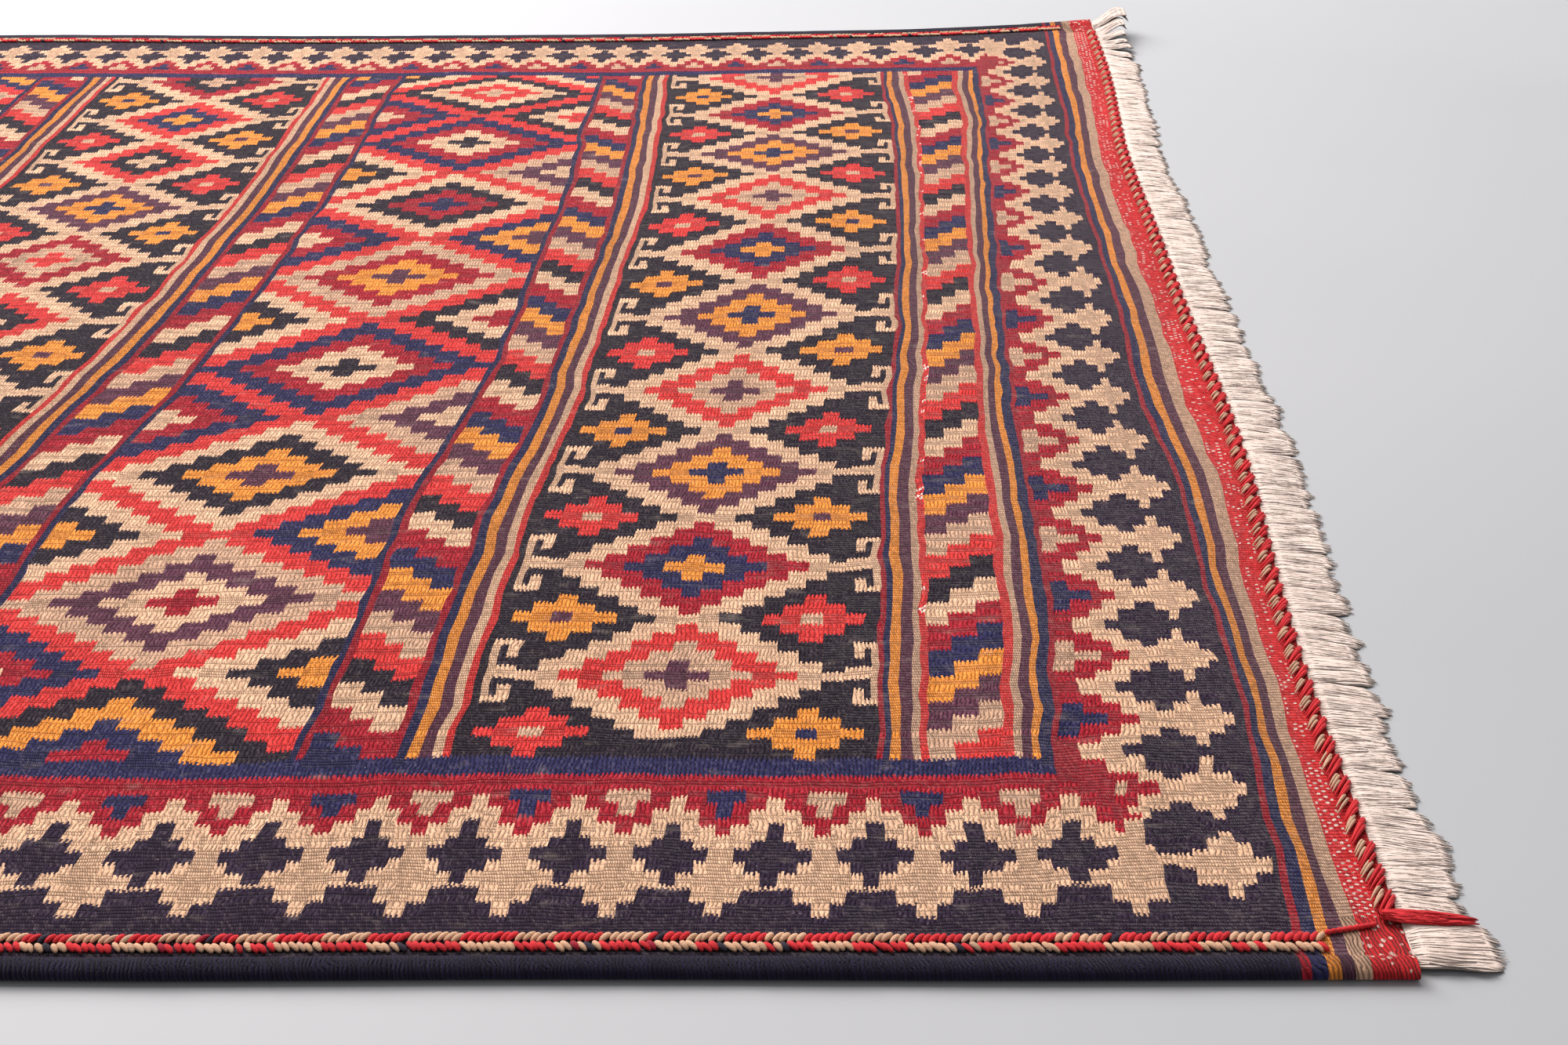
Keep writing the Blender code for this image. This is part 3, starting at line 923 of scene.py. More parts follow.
# Loops interlock at the south and north edge of a patch: every other pair reaches into the next colour
comb = node(tree, "Math", {0: along, 1: 2 * WEFT}, operation="DIVIDE")
comb = node(tree, "Math", {0: uneven, 1: 1.0, 2: comb}, operation="MULTIPLY_ADD")
tooth = node(tree, "Math", {0: comb}, operation="FLOOR")
tooth_at = node(tree, "Math", {0: comb}, operation="FRACT")
is_tooth = node(tree, "Math", {0: tooth_at, 1: 0.5}, operation="GREATER_THAN")
to_north = node(tree, "Math", {0: span.outputs[1], 1: side}, operation="SUBTRACT")
to_south = node(tree, "Math", {0: side, 1: span.outputs[0]}, operation="SUBTRACT")
own_tooth = node(tree, "CombineXYZ", {0: tooth, 1: span.outputs[0]})
chance = node(tree, "TexWhiteNoise", {"Vector": own_tooth}, noise_dimensions="3D")
depth = node(tree, "Math", {0: chance.outputs["Value"], 1: 0.0013, 2: 0.0002}, operation="MULTIPLY_ADD")
number = yarns.outputs[0]
for other, distance, wanted in ((yarns.outputs[1], to_south, 0.0), (yarns.outputs[2], to_north, 1.0)):
    close = node(tree, "Math", {0: distance, 1: depth}, operation="LESS_THAN")
    turn = node(tree, "Math", {0: is_tooth, 1: wanted, 2: 0.1}, operation="COMPARE")
    reach = node(tree, "Math", {0: close, 1: turn}, operation="MULTIPLY")
    step = node(tree, "Math", {0: other, 1: yarns.outputs[0]}, operation="SUBTRACT")
    number = node(tree, "Math", {0: reach, 1: step, 2: number}, operation="MULTIPLY_ADD")
dye = yarn_ramp(tree, number)
# Height of the loops
weave_height = node(tree, "Math", {
    0: round_back(tree, in_repeat(tree, weft)), 1: round_back(tree, over)}, operation="MULTIPLY")
# At the comb the loops stand out as short ridges
to_edge = node(tree, "Math", {0: to_north, 1: to_south}, operation="MINIMUM")
at_edge = node(tree, "MapRange", {
    "Value": to_edge, "From Min": 0.0025, "From Max": 0.0045, "To Min": 1.0, "To Max": 0.0})
below = node(tree, "Math", {0: yarns.outputs[1], 1: yarns.outputs[0], 2: 0.1}, operation="COMPARE")
above = node(tree, "Math", {0: yarns.outputs[2], 1: yarns.outputs[0], 2: 0.1}, operation="COMPARE")
same = node(tree, "Math", {0: below, 1: above}, operation="MULTIPLY")
edged = node(tree, "Math", {0: 1.0, 1: same}, operation="SUBTRACT")
at_edge = node(tree, "Math", {0: at_edge, 1: edged}, operation="MULTIPLY")
standing = round_back(tree, in_repeat(tree, comb), -4.2, 1.05)
height = node(tree, "Mix", {0: at_edge, 2: weave_height, 3: standing}).outputs[0]
# Colour: every loop, every length of dyed yarn, every few loops and each fibre differ a little. Fibres are
# drawn at 0.7 mm, coarser than real ones, so that they show.
own_loop = node(tree, "CombineXYZ", {0: loop, 1: ridge})
loop_chance = node(tree, "TexWhiteNoise", {"Vector": own_loop}, noise_dimensions="2D")
dyed = node(tree, "VectorMath", {0: place, 1: (42.0, 5.0, 1.0)}, operation="MULTIPLY")  # 24 mm by 200 mm
dyeing = node(tree, "TexNoise", {"Vector": dyed, "Scale": 1.0, "Detail": 3.0})
mottle = node(tree, "TexNoise", {"Vector": place, "Scale": 190.0, "Detail": 2.0})  # over about 5 mm
fibre = node(tree, "TexNoise", {"Vector": place, "Scale": 1500.0, "Detail": 2.0})
bright = 0.0
for source, amount in (
    (loop_chance.outputs["Value"], 0.50), (dyeing.outputs["Fac"], 0.55), (mottle.outputs["Fac"], 0.50),
    (fibre.outputs["Fac"], 0.30),
):
    off = node(tree, "Math", {0: source, 1: 0.5}, operation="SUBTRACT")
    bright = node(tree, "Math", {0: off, 1: amount, 2: bright}, operation="MULTIPLY_ADD")
bright = node(tree, "Math", {0: bright, 1: 1.0}, operation="ADD")
# Painted shade: the colour is darkened where the loops are low, between them, and a little lighter on their tops
painted_shade_by_height = node(tree, "MapRange", {"Value": height, "From Min": 0.0, "From Max": 0.55, "To Min": 0.42, "To Max": 1.12})
bright = node(tree, "Math", {0: bright, 1: painted_shade_by_height}, operation="MULTIPLY")
toned = node(tree, "HueSaturation", {"Saturation": 1.0, "Value": bright, "Color": dye})
# Wear bares paler fibres in patches of 1 to 2 cm and in single loops, and a few white specks are left
rubbed = node(tree, "VectorMath", {0: place, 1: (60.0, 90.0, 1.0)}, operation="MULTIPLY")
wear = node(tree, "TexNoise", {"Vector": rubbed, "Scale": 1.0, "Detail": 4.0})
wear = node(tree, "MapRange", {
    "Value": wear.outputs["Fac"], "From Min": 0.60, "From Max": 0.80, "To Min": 0.0, "To Max": 0.22})
ash = node(tree, "Math", {0: loop_chance.outputs["Value"], 1: 5.0}, operation="POWER")
wear = node(tree, "Math", {0: ash, 1: 0.07, 2: wear}, operation="MULTIPLY_ADD")
worn = node(tree, "Mix", {0: wear, 6: toned, 7: linear("#CDBFB2")}, data_type="RGBA")
speck = node(tree, "TexVoronoi", {"Vector": place, "Scale": 105.0})
speck = node(tree, "Math", {0: speck.outputs["Distance"], 1: 0.030}, operation="LESS_THAN")
# White dots, in three columns near each end
from_middle = node(tree, "Math", {0: along}, operation="ABSOLUTE")
from_end = node(tree, "Math", {0: CLOTH_LENGTH / 2, 1: from_middle}, operation="SUBTRACT")
dot_column = node(tree, "Math", {0: from_end, 1: DOT_PITCH[0]}, operation="DIVIDE")
own_column = node(tree, "Math", {0: dot_column}, operation="FLOOR")
dot_stagger = node(tree, "Math", {0: own_column, 1: 0.5}, operation="MULTIPLY")
dot_row = node(tree, "Math", {0: side, 1: 1 / DOT_PITCH[1], 2: dot_stagger}, operation="MULTIPLY_ADD")
dot_row = node(tree, "Math", {0: uneven, 1: 0.5, 2: dot_row}, operation="MULTIPLY_ADD")
own_dot = node(tree, "CombineXYZ", {0: own_column, 1: node(tree, "Math", {0: dot_row}, operation="FLOOR")})
dot_chance = node(tree, "TexWhiteNoise", {"Vector": own_dot}, noise_dimensions="2D")
from_far = node(tree, "Math", {0: CLOTH_WIDTH, 1: side}, operation="SUBTRACT")
from_side = node(tree, "Math", {0: side, 1: from_far}, operation="MINIMUM")
crowd = node(tree, "MapRange", {
    "Value": from_side, "From Min": 0.05, "From Max": 0.24, "To Min": 1.7, "To Max": 0.60})
patches = node(tree, "TexNoise", {"Vector": place, "Scale": 26.0})  # over about 4 cm
crowd = node(tree, "Math", {0: patches.outputs["Fac"], 1: crowd}, operation="MULTIPLY")
dot_x = node(tree, "Math", {0: in_repeat(tree, dot_column), 1: DOT_PITCH[0] / DOT_HALF[0]}, operation="MULTIPLY")
dot_y = node(tree, "Math", {0: in_repeat(tree, dot_row), 1: DOT_PITCH[1] / DOT_HALF[1]}, operation="MULTIPLY")
dot = node(tree, "VectorMath", {0: node(tree, "CombineXYZ", {0: dot_x, 1: dot_y})}, operation="LENGTH").outputs["Value"]
dot = node(tree, "Math", {0: dot, 1: 1.0}, operation="LESS_THAN")
for source, limit, way in (
    (dot_chance.outputs["Value"], crowd, "LESS_THAN"), (from_end, 0.0105, "GREATER_THAN"),
    (from_end, 0.0205, "LESS_THAN"),
):
    kept = node(tree, "Math", {0: source, 1: limit}, operation=way)
    dot = node(tree, "Math", {0: dot, 1: kept}, operation="MULTIPLY")
faint = node(tree, "Math", {0: speck, 1: 0.5}, operation="MULTIPLY")
white = node(tree, "Math", {0: faint, 1: dot}, operation="MAXIMUM")
speckled = node(tree, "Mix", {0: white, 6: worn.outputs[2], 7: linear("#EBDCD0")}, data_type="RGBA")
height = node(tree, "Math", {0: dot, 1: 0.8, 2: height}, operation="MULTIPLY_ADD")
height = node(tree, "Math", {0: fibre.outputs["Fac"], 1: 0.3, 2: height}, operation="MULTIPLY_ADD")
bump = node(tree, "Bump", {"Strength": 1.0, "Distance": 0.0006, "Height": height})
shader = node(tree, "BsdfPrincipled", {
    "Base Color": speckled.outputs[2], "Roughness": 0.95, "Sheen Weight": 0.26, "Sheen Roughness": 0.16,
    "Specular IOR Level": 0.12, "Normal": bump,
})
node(tree, "OutputMaterial", {"Surface": shader})

# The same wool wound round the edge warps: turns of yarn side by side, a little slanted.
OVERCAST = 0.0019  # one turn
overcast, tree = new_material("overcast_wool")
flat = node(tree, "SeparateXYZ", {0: node(tree, "UVMap", uv_map="flat")})
place = node(tree, "CombineXYZ", {0: flat.outputs[0], 1: flat.outputs[1], 2: 0.0})
uneven = node(tree, "TexNoise", {"Vector": place, "Scale": 90.0, "Detail": 3.0})  # over about 1 cm
turns = node(tree, "Math", {0: flat.outputs[0], 1: OVERCAST}, operation="DIVIDE")
turns = node(tree, "Math", {0: flat.outputs[1], 1: 130.0, 2: turns}, operation="MULTIPLY_ADD")
turns = node(tree, "Math", {0: uneven.outputs["Fac"], 1: 3.2, 2: turns}, operation="MULTIPLY_ADD")
turn = node(tree, "Math", {0: turns}, operation="FLOOR")
height = round_back(tree, in_repeat(tree, turns))
yarns = node(tree, "SeparateXYZ", {0: node(tree, "Attribute", attribute_name="yarns").outputs["Vector"]})
dye = yarn_ramp(tree, yarns.outputs[0])
fibre = node(tree, "TexNoise", {"Vector": place, "Scale": 900.0, "Detail": 3.0})
turn_chance = node(tree, "TexWhiteNoise", {"W": turn}, noise_dimensions="1D")
# Each turn differs in tone at random; the whole is kept darker than the cloth's wool, partly as painted shade for the
# rolled selvedge
bright = node(tree, "Math", {0: turn_chance.outputs["Value"], 1: 0.40, 2: 0.40}, operation="MULTIPLY_ADD")
bright = node(tree, "Math", {0: fibre.outputs["Fac"], 1: 0.3, 2: bright}, operation="MULTIPLY_ADD")
# Painted shade: the colour is darkened between the turns, where they are low
painted_shade_by_height = node(tree, "MapRange", {"Value": height, "From Min": 0.0, "From Max": 0.7, "To Min": 0.45, "To Max": 1.0})
bright = node(tree, "Math", {0: bright, 1: painted_shade_by_height}, operation="MULTIPLY")
toned = node(tree, "HueSaturation", {"Value": bright, "Color": dye})
# White knots in the red corners, about 4 mm apart
knot = node(tree, "TexVoronoi", {"Vector": place, "Scale": 230.0})
knot = node(tree, "Math", {0: knot.outputs["Distance"], 1: 0.30}, operation="LESS_THAN")
in_red = node(tree, "Math", {0: yarns.outputs[0], 1: float(yarn("end_red")), 2: 0.1}, operation="COMPARE")
knot = node(tree, "Math", {0: knot, 1: in_red}, operation="MULTIPLY")
toned = node(tree, "Mix", {0: knot, 6: toned, 7: linear("#E0B9AD")}, data_type="RGBA").outputs[2]
height = node(tree, "Math", {0: fibre.outputs["Fac"], 1: 0.4, 2: height}, operation="MULTIPLY_ADD")
bump = node(tree, "Bump", {"Strength": 1.0, "Distance": 0.0009, "Height": height})
shader = node(tree, "BsdfPrincipled", {
    "Base Color": toned, "Roughness": 0.95, "Sheen Weight": 0.06, "Sheen Roughness": 0.5,
    "Specular IOR Level": 0.12, "Normal": bump,
})
node(tree, "OutputMaterial", {"Surface": shader})
cloth_mesh.materials.append(wool)
cloth_mesh.materials.append(overcast)

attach(cloth, "root")
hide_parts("cloth")


# ---------------------------------------------------------------------------------------------------
# Edge braids: beside each selvedge two rows of slanted wool stitches lie on the cloth, in short blocks
# of red and cream that are opposite in the two rows, so that the rows make arrowheads.

BRAID_WIDTH = 0.0130
BRAID_INSET = 0.0010  # from the selvedge
BRAID_STOP = 0.0300  # from the ends
CLEARANCE = 0.0003  # between stitches and cloth
STITCH_LEAN = 0.0021
STITCH_PITCH = 0.0032
STITCH_WIDE = 0.0031
STITCH_HIGH = 0.0022
STITCH_SIDES = 6
STITCH_RINGS = (0.10, 0.30, 0.50, 0.70, 0.90)

STITCH_YARNS = {"red": "#D5343B", "cream": "#D6AF90", "dark": "#34303E", "deep": "#A3263A", "tan": "#C9A78D"}


def stitch(points, polygons, marks, start, end, wide, high, mark, rings=STITCH_RINGS, bow=0.0, blunt=False):
    """Adds one plump stitch of yarn from start to end, thickest near its end if blunt.

    The mark is its (yarn, chance) for the material.
    """
    sides = STITCH_SIDES
    run = end - start
    out = Vector((-run.y, run.x, 0.0)).normalized()
    first = len(points)
    points.append(start)
    for share in rings:
        swell = math.sin(math.pi * min(0.97, max(0.03, share))) ** 0.45
        if blunt:
            swell = (0.35 + 0.65 * smooth(share / 0.7)) * (1.0 if share < 0.9 else 0.72)
        middle = start + run * share + Vector((0.0, 0.0, bow * math.sin(math.pi * share)))
        for k in range(sides):
            turn = math.tau * k / sides
            rise = Vector((0, 0, math.sin(turn) * high / 2 * swell))
            points.append(middle + out * (math.cos(turn) * wide / 2 * swell) + rise)
    points.append(end)
    for k in range(sides):
        m = (k + 1) % sides
        polygons.append((first, first + 1 + m, first + 1 + k))
        for r in range(len(rings) - 1):
            low, high_ring = first + 1 + r * sides, first + 1 + (r + 1) * sides
            polygons.append((low + k, low + m, high_ring + m, high_ring + k))
        last = first + 1 + (len(rings) - 1) * sides
        polygons.append((last + k, last + m, len(points) - 1))
    marks += [mark] * (2 + sides * len(rings))


def stitched_piece(name, points, polygons, marks, material):
    """An object from stitches, with each one's yarn and chance kept on its corners."""
    mesh = bpy.data.meshes.new(name)
    mesh.from_pydata(points, [], polygons)
    layer = mesh.attributes.new("stitch", "FLOAT_VECTOR", "POINT")
    layer.data.foreach_set("vector", [float(v) for mark in marks for v in (*mark, 0.0)])
    mesh.shade_smooth()
    mesh.materials.append(material)
    piece = bpy.data.objects.new(name, mesh)
    bpy.context.scene.collection.objects.link(piece)
    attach(piece, "root")
    return piece


# Two-ply wool, loosely twisted and matt, with fine fibres. They are drawn at 0.7 mm, so that they show.
ply, tree = new_material("stitched_wool")
mark = node(tree, "SeparateXYZ", {0: node(tree, "Attribute", attribute_name="stitch").outputs["Vector"]})
place = node(tree, "TexCoord").outputs["Object"]
dye = yarn_ramp(tree, mark.outputs[0], STITCH_YARNS)
fibre = node(tree, "TexNoise", {"Vector": place, "Scale": 1400.0, "Detail": 3.0})
soft = node(tree, "TexNoise", {"Vector": place, "Scale": 60.0, "Detail": 2.0})
bright = node(tree, "Math", {0: mark.outputs[1], 1: 0.24, 2: 0.66}, operation="MULTIPLY_ADD")
bright = node(tree, "Math", {0: fibre.outputs["Fac"], 1: 0.34, 2: bright}, operation="MULTIPLY_ADD")
bright = node(tree, "Math", {0: soft.outputs["Fac"], 1: 0.16, 2: bright}, operation="MULTIPLY_ADD")
toned = node(tree, "HueSaturation", {"Value": bright, "Color": dye})
bump = node(tree, "Bump", {"Strength": 0.7, "Distance": 0.0005, "Height": fibre.outputs["Fac"]})
shader = node(tree, "BsdfPrincipled", {
    "Base Color": toned, "Roughness": 0.92, "Sheen Weight": 0.08, "Sheen Roughness": 0.5,
    "Specular IOR Level": 0.15, "Normal": bump,
})
node(tree, "OutputMaterial", {"Surface": shader})

stitch_names = list(STITCH_YARNS)
for word, near in (("near", True), ("far", False)):
    points, polygons, marks = [], [], []
    draw = random.Random(11 if near else 12)
    outer = SELVEDGE_WIDTH + BRAID_INSET
    reach = HALF - BRAID_STOP
    block, left = 0, 0
    count = int(2 * reach / STITCH_PITCH)
    for i in range(count):
        if left <= 0:
            block, left = 1 - block, draw.choice((5, 5, 5, 6, 6, 7))
        left -= 1
        at = -reach + STITCH_PITCH * (i + 0.5 + draw.uniform(-0.15, 0.15))
        for row in (0, 1):  # the outer row, then the inner one
            colour = "red" if (block + row) % 2 else "cream"
            if draw.random() < 0.05:
                colour = draw.choice(("dark", "deep", "tan", "red", "cream"))
            low = outer + BRAID_WIDTH * (0.04 + 0.46 * row) + draw.uniform(-0.0006, 0.0006)
            high = low + BRAID_WIDTH * 0.46
            lean = STITCH_LEAN + draw.uniform(-0.0006, 0.0006)
            ends = ((at - lean, high), (at + lean, low)) if row == 0 else ((at - lean, low), (at + lean, high))
            here = []
            for a, s in ends:
                a = min(reach, max(-reach, a))
                here.append(laid(a, s if near else CLOTH_WIDTH - s, CLOTH_THICK + CLEARANCE + STITCH_HIGH * 0.30))
            stitch(points, polygons, marks, here[0], here[1], STITCH_WIDE * draw.uniform(0.85, 1.15),
                   STITCH_HIGH, (stitch_names.index(colour), draw.random()), bow=STITCH_HIGH * 0.25)
    if near:
        # At the near right corner a thin line of red stitches goes on to the end braid
        for i in range(9):
            high = CLOTH_THICK + CLEARANCE + STITCH_HIGH * 0.3
            here = [laid(HALF - 0.0325 + 0.0024 * k, 0.0280 + 0.0006 * k, high) for k in (i, i + 1.35)]
            mark = (stitch_names.index("red"), draw.random())
            stitch(points, polygons, marks, here[0], here[1], 0.0029, STITCH_HIGH, mark)
    piece = stitched_piece("stitched_braid_" + word, points, polygons, marks, ply)
    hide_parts("braid_" + word)


# ---------------------------------------------------------------------------------------------------
# End braids: across each end slanted bundles of red yarn, with tan ones between them, are sewn over the
# last wefts and the roots of the fringe.

END_PITCH = 0.0170
END_SWEEP = 0.0170  # how far across a strand goes for each centimetre out
END_START = 0.0365  # from the near side
# yarn, place across, how it spreads, reach over the edge and width of each strand, the tan ones first
END_STRANDS = (
    ("tan", 0.0080, 0.0, -0.0030, 0.0017), ("tan", 0.0106, 0.0, -0.0024, 0.0017),
    ("tan", 0.0132, 0.0, -0.0032, 0.0017), ("red", 0.0, -0.0006, 0.0002, 0.0018),
    ("red", 0.0022, 0.0002, 0.0013, 0.0020), ("red", 0.0044, 0.0010, 0.0008, 0.0019),
)
END_INNER = {"red": 0.0080, "tan": 0.0090}  # where a strand starts, from the edge
END_HIGH = {"red": 0.0024, "tan": 0.0019}
END_RINGS = (0.03, 0.22, 0.45, 0.70, 0.88, 0.97)
TUFT_STRANDS = 26
TUFT_LENGTH = 0.0400
TUFT_INSET = 0.0085  # it starts this far from the edge
TUFT_HALF = 0.0042  # half its width


def cloth_end(end, side):
    """A place on the underside at the cloth's left (-1) or right (+1) end."""
    return laid(end * HALF, side)


def thread(points, polygons, marks, path, radius, mark, way):
    """Adds a thin three-sided yarn along a path that goes out from the cloth, tapering at its last point."""
    first, last = len(points), len(path) - 1
    for k, at in enumerate(path):
        thick = radius * (1.0 if k < last else 0.4)
        for s in range(3):
            turn = math.tau * s / 3 + mark[1] * 6 + k * 0.35
            points.append(at + Vector((0.0, thick * math.cos(turn), thick * math.sin(turn))))
    for k in range(last):
        for s in range(3):
            a, b = first + 3 * k + s, first + 3 * k + (s + 1) % 3
            polygons.append((a, b, b + 3, a + 3)[::way])
    tail = first + 3 * last
    polygons.append((first + 2, first + 1, first)[::way])
    polygons.append((tail, tail + 1, tail + 2)[::way])
    marks += [mark] * (3 * len(path))


for word, end in (("right", 1), ("left", -1)):
    points, polygons, marks = [], [], []
    draw = random.Random(21 if end > 0 else 22)
    for i in range(int((CLOTH_WIDTH - 0.095) / END_PITCH) + 1):
        base = END_START + END_PITCH * i + draw.uniform(-0.0012, 0.0012)
        grow = draw.uniform(0.90, 1.08)
        for colour, offset, apart, over, wide in END_STRANDS:
            inner = END_INNER[colour] + draw.uniform(-0.0008, 0.0008)
            sweep = END_SWEEP * grow * (inner + over) / 0.0100 + apart
            ends = []
            for from_edge, s in ((inner, base + offset), (-over, base + offset + sweep)):
                at = cloth_end(end, min(CLOTH_WIDTH - 0.003, s))
                ends.append(Vector((at.x - end * from_edge, at.y, at.z + CLOTH_THICK + CLEARANCE + 0.0007)))
            stitch(points, polygons, marks, ends[0], ends[1], wide, END_HIGH[colour],
                   (stitch_names.index(colour), draw.random()), rings=END_RINGS, bow=0.0006, blunt=True)
    if end > 0:
        # At the near corner the sewing yarn ends in a loose tuft that lies over the fringe
        tuft_root = cloth_end(end, 0.0385)
        for i in range(TUFT_STRANDS):
            lane, drift, far_out = draw.uniform(-1, 1), draw.uniform(-0.5, 0.5), draw.uniform(0.68, 1.0)
            path = []
            for k in range(9):
                share = k / 8 * far_out
                out = -TUFT_INSET + TUFT_LENGTH * share
                spread = TUFT_HALF * lane * (1 - 0.45 * smooth((share - 0.60) / 0.40))
                spread *= 0.55 + 0.45 * smooth(share / 0.2)
                spread += 0.0008 * drift * math.sin(share * 9)
                lift = (1 - smooth((share - 0.22) / 0.45)) * tuft_root.z  # the cloth's own height, left behind
                back = 0.0016 * math.sqrt(1 - lane * lane) * (0.4 + 0.6 * draw.random())
                path.append(Vector((tuft_root.x + end * out, tuft_root.y - 0.0010 - 0.0020 * share + spread,
                                    lift + 0.0052 + back - 0.0020 * share)))
            thread(points, polygons, marks, path, 0.0008, (stitch_names.index("red"), draw.random() * 0.8), end)
    piece = stitched_piece("sewn_end_" + word, points, polygons, marks, ply)
    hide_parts("end_braid_" + word)


# ---------------------------------------------------------------------------------------------------
# Fringes: the cotton warps go on past the last weft in full, soft locks, and fall to the floor. The lock
# at each corner is thicker and longer.

FRINGE_LENGTH = 0.0318
FRINGE_INSET = 0.008  # it starts this far from the sides
CORNER_LOCK = 0.022  # width of the locks at the corners
CORNER_ROOM = 0.030  # what the last of them needs, with its inset
STRAND = 0.00052  # radius
STRANDS = 32  # over each STRANDS_WIDE of a lock
STRANDS_WIDE = 0.0145
STAND_HEIGHT = 0.013  # how far the locks at the curled corner stand up at their tips
LOCK_SIDES = 10
LOCK_SHAPE = (  # share of the way out, half height and share of the half width of a lock's body
    (0.0, 0.0016, 1.0), (0.12, 0.0020, 1.05), (0.32, 0.0019, 1.06), (0.52, 0.0017, 1.05), (0.72, 0.0014, 1.04),
    (0.88, 0.0010, 1.0), (0.96, 0.0004, 0.90),
)

# Undyed cotton yarn: off-white, matt and a little fuzzy, with fibres drawn at 0.9 mm, so that they show.
cotton, tree = new_material("undyed_cotton")
mark = node(tree, "SeparateXYZ", {0: node(tree, "Attribute", attribute_name="stitch").outputs["Vector"]})
place = node(tree, "TexCoord").outputs["Object"]
fibre = node(tree, "TexNoise", {"Vector": place, "Scale": 1100.0, "Detail": 3.0})
tone = node(tree, "ValToRGB", {"Fac": mark.outputs[1]})
tone.color_ramp.elements[0].color = linear("#F6E4D9")
tone.color_ramp.elements[1].color = linear("#FFF3EA")
bright = node(tree, "Math", {0: fibre.outputs["Fac"], 1: 0.16, 2: 0.92}, operation="MULTIPLY_ADD")
toned = node(tree, "HueSaturation", {"Value": bright, "Color": tone})
# A lock scatters light between its strands, so it is shaded softer than their own shape, as a top face
own_normal = node(tree, "NewGeometry").outputs["Normal"]
soft_normal = node(tree, "VectorMath", {0: own_normal, 1: (0.0, 0.0, 2.2)}, operation="ADD")
soft_normal = node(tree, "VectorMath", {0: soft_normal}, operation="NORMALIZE")
bump = node(tree, "Bump", {"Normal": soft_normal, "Strength": 0.5, "Distance": 0.0003, "Height": fibre.outputs["Fac"]})
shader = node(tree, "BsdfPrincipled", {
    "Base Color": toned, "Roughness": 0.9, "Sheen Weight": 0.35, "Sheen Roughness": 0.5,
    "Specular IOR Level": 0.3, "Normal": bump,
})
node(tree, "OutputMaterial", {"Surface": shader})

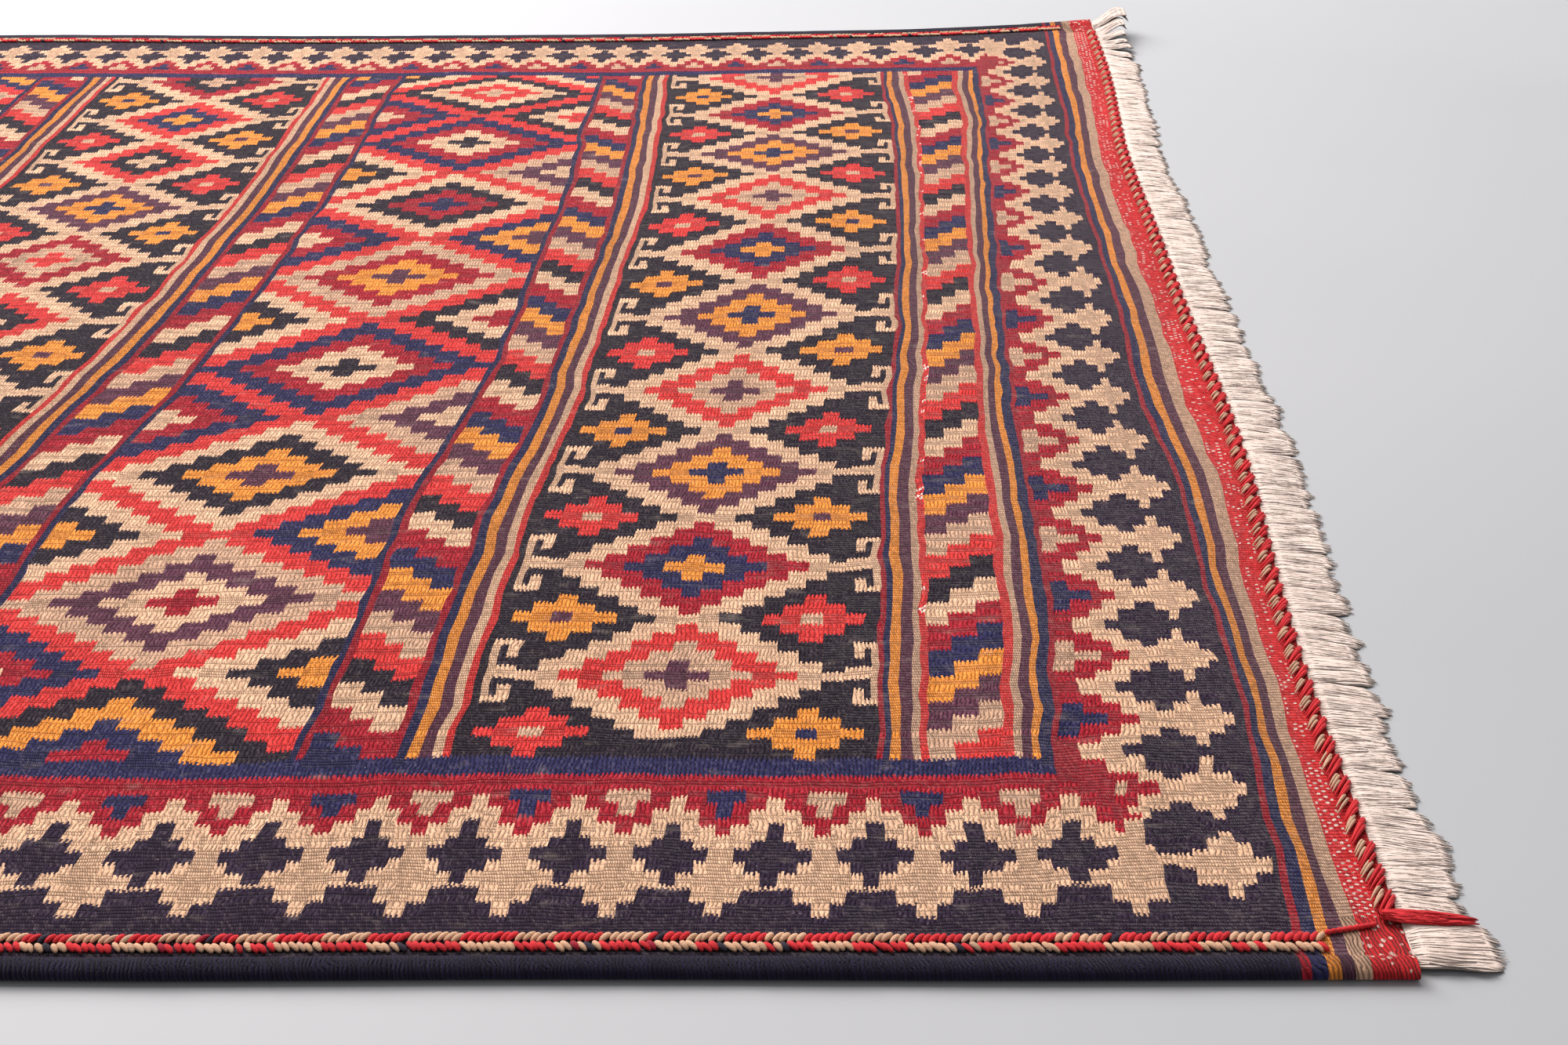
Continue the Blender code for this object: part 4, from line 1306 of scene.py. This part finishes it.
for word, end in (("right", 1), ("left", -1)):
    points, polygons, marks = [], [], []
    draw = random.Random(31 if end > 0 else 32)
    start = FRINGE_INSET
    while start < CLOTH_WIDTH - FRINGE_INSET - 0.001:
        corner_lock = start < FRINGE_INSET + 0.001 or start > CLOTH_WIDTH - CORNER_ROOM - 0.001
        wide = CORNER_LOCK if corner_lock else draw.uniform(0.0105, 0.0185)
        wide = min(wide, CLOTH_WIDTH - FRINGE_INSET - start)
        if not corner_lock and CLOTH_WIDTH - CORNER_ROOM - start - wide < 0.008:
            wide = max(0.006, CLOTH_WIDTH - CORNER_ROOM - start)
        middle = start + wide / 2
        start += wide
        lean = (0.06 if start < CLOTH_WIDTH / 2 else -0.06) if corner_lock else draw.uniform(-0.20, 0.05)
        fan = 0.38 if corner_lock else draw.uniform(0.0, 0.06)
        length = FRINGE_LENGTH * (1.12 if corner_lock else draw.uniform(0.88, 1.04))
        full = 1.35 if corner_lock else draw.uniform(0.9, 1.1)
        root = cloth_end(end, middle)
        # The ones at the curled far corner stand up a little
        stands = smooth((middle - CLOTH_WIDTH + 0.13) / 0.11) if end > 0 else 0.0
        lean += 0.45 * stands

        def lock_place(share, across, out_more=0.0):
            """On the body's top, across from -1 to 1; returns the place and the body's half height there."""
            for low, high in zip(LOCK_SHAPE, LOCK_SHAPE[1:]):
                if share <= high[0]:
                    break
            part = min(1.0, (share - low[0]) / (high[0] - low[0]))
            half_high = (low[1] + (high[1] - low[1]) * part) * full
            half_wide = wide / 2 * (low[2] + (high[2] - low[2]) * part) * (1 + fan * share)
            out = 0.0002 + length * share + out_more
            here = cloth_end(end, min(CLOTH_WIDTH - 0.001, max(0.001, middle + across * wide / 2)))
            drop = here.z * (1 - smooth(out / 0.020) * (1 - stands)) + STAND_HEIGHT * stands * smooth(out / 0.028)
            return here.x + end * out, root.y + lean * out + across * half_wide, drop, half_high

        # The body, a soft flat lock
        first = len(points)
        for share, _, _ in LOCK_SHAPE:
            for k in range(LOCK_SIDES):
                turn = math.tau * k / LOCK_SIDES
                x, y, drop, half_high = lock_place(share, math.cos(turn))
                points.append(Vector((x, y, drop + half_high * (1 + math.sin(turn)))))
        for r in range(len(LOCK_SHAPE) - 1):
            for k in range(LOCK_SIDES):
                a, b = first + r * LOCK_SIDES + k, first + r * LOCK_SIDES + (k + 1) % LOCK_SIDES
                polygons.append((a, b, b + LOCK_SIDES, a + LOCK_SIDES)[::end])
        polygons.append(tuple(range(first, first + LOCK_SIDES))[::-end])
        polygons.append(tuple(range(len(points) - LOCK_SIDES, len(points)))[::end])
        marks += [(0.0, 0.25)] * (LOCK_SIDES * len(LOCK_SHAPE))

        # The strands over it
        count = int(STRANDS * wide / STRANDS_WIDE)
        for i in range(count):
            across = -1.04 + 2.08 * (i + draw.random()) / count
            tail = draw.uniform(0.95, 1.08) - 0.10 * across * across
            wiggle, phase, slip = draw.uniform(0.0002, 0.0009), draw.uniform(0, math.tau), draw.uniform(-0.16, 0.16)
            path = []
            for k in range(7):
                share = tail * k / 6
                lane = max(-1.0, min(1.0, across + slip * share))
                x, y, drop, half_high = lock_place(min(1.0, share), lane, length * max(0.0, share - 1.0))
                crown = math.sqrt(max(0.0, 1 - min(1.0, abs(across)) ** 2))
                z = drop + half_high * (1 + 0.92 * crown) + STRAND * (0.1 + 0.35 * math.sin(phase + 3 * share))
                if share > 0.86:
                    z = max(STRAND * 0.8, z * (1 - (share - 0.86) * 2.2))
                path.append(Vector((x, y + wiggle * math.sin(phase + share * 9.0), max(STRAND * 0.8, z))))
            thread(points, polygons, marks, path, STRAND * draw.uniform(0.8, 1.15), (0.0, draw.random()), end)
    piece = stitched_piece("cotton_fringe_" + word, points, polygons, marks, cotton)
    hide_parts("fringe_" + word)
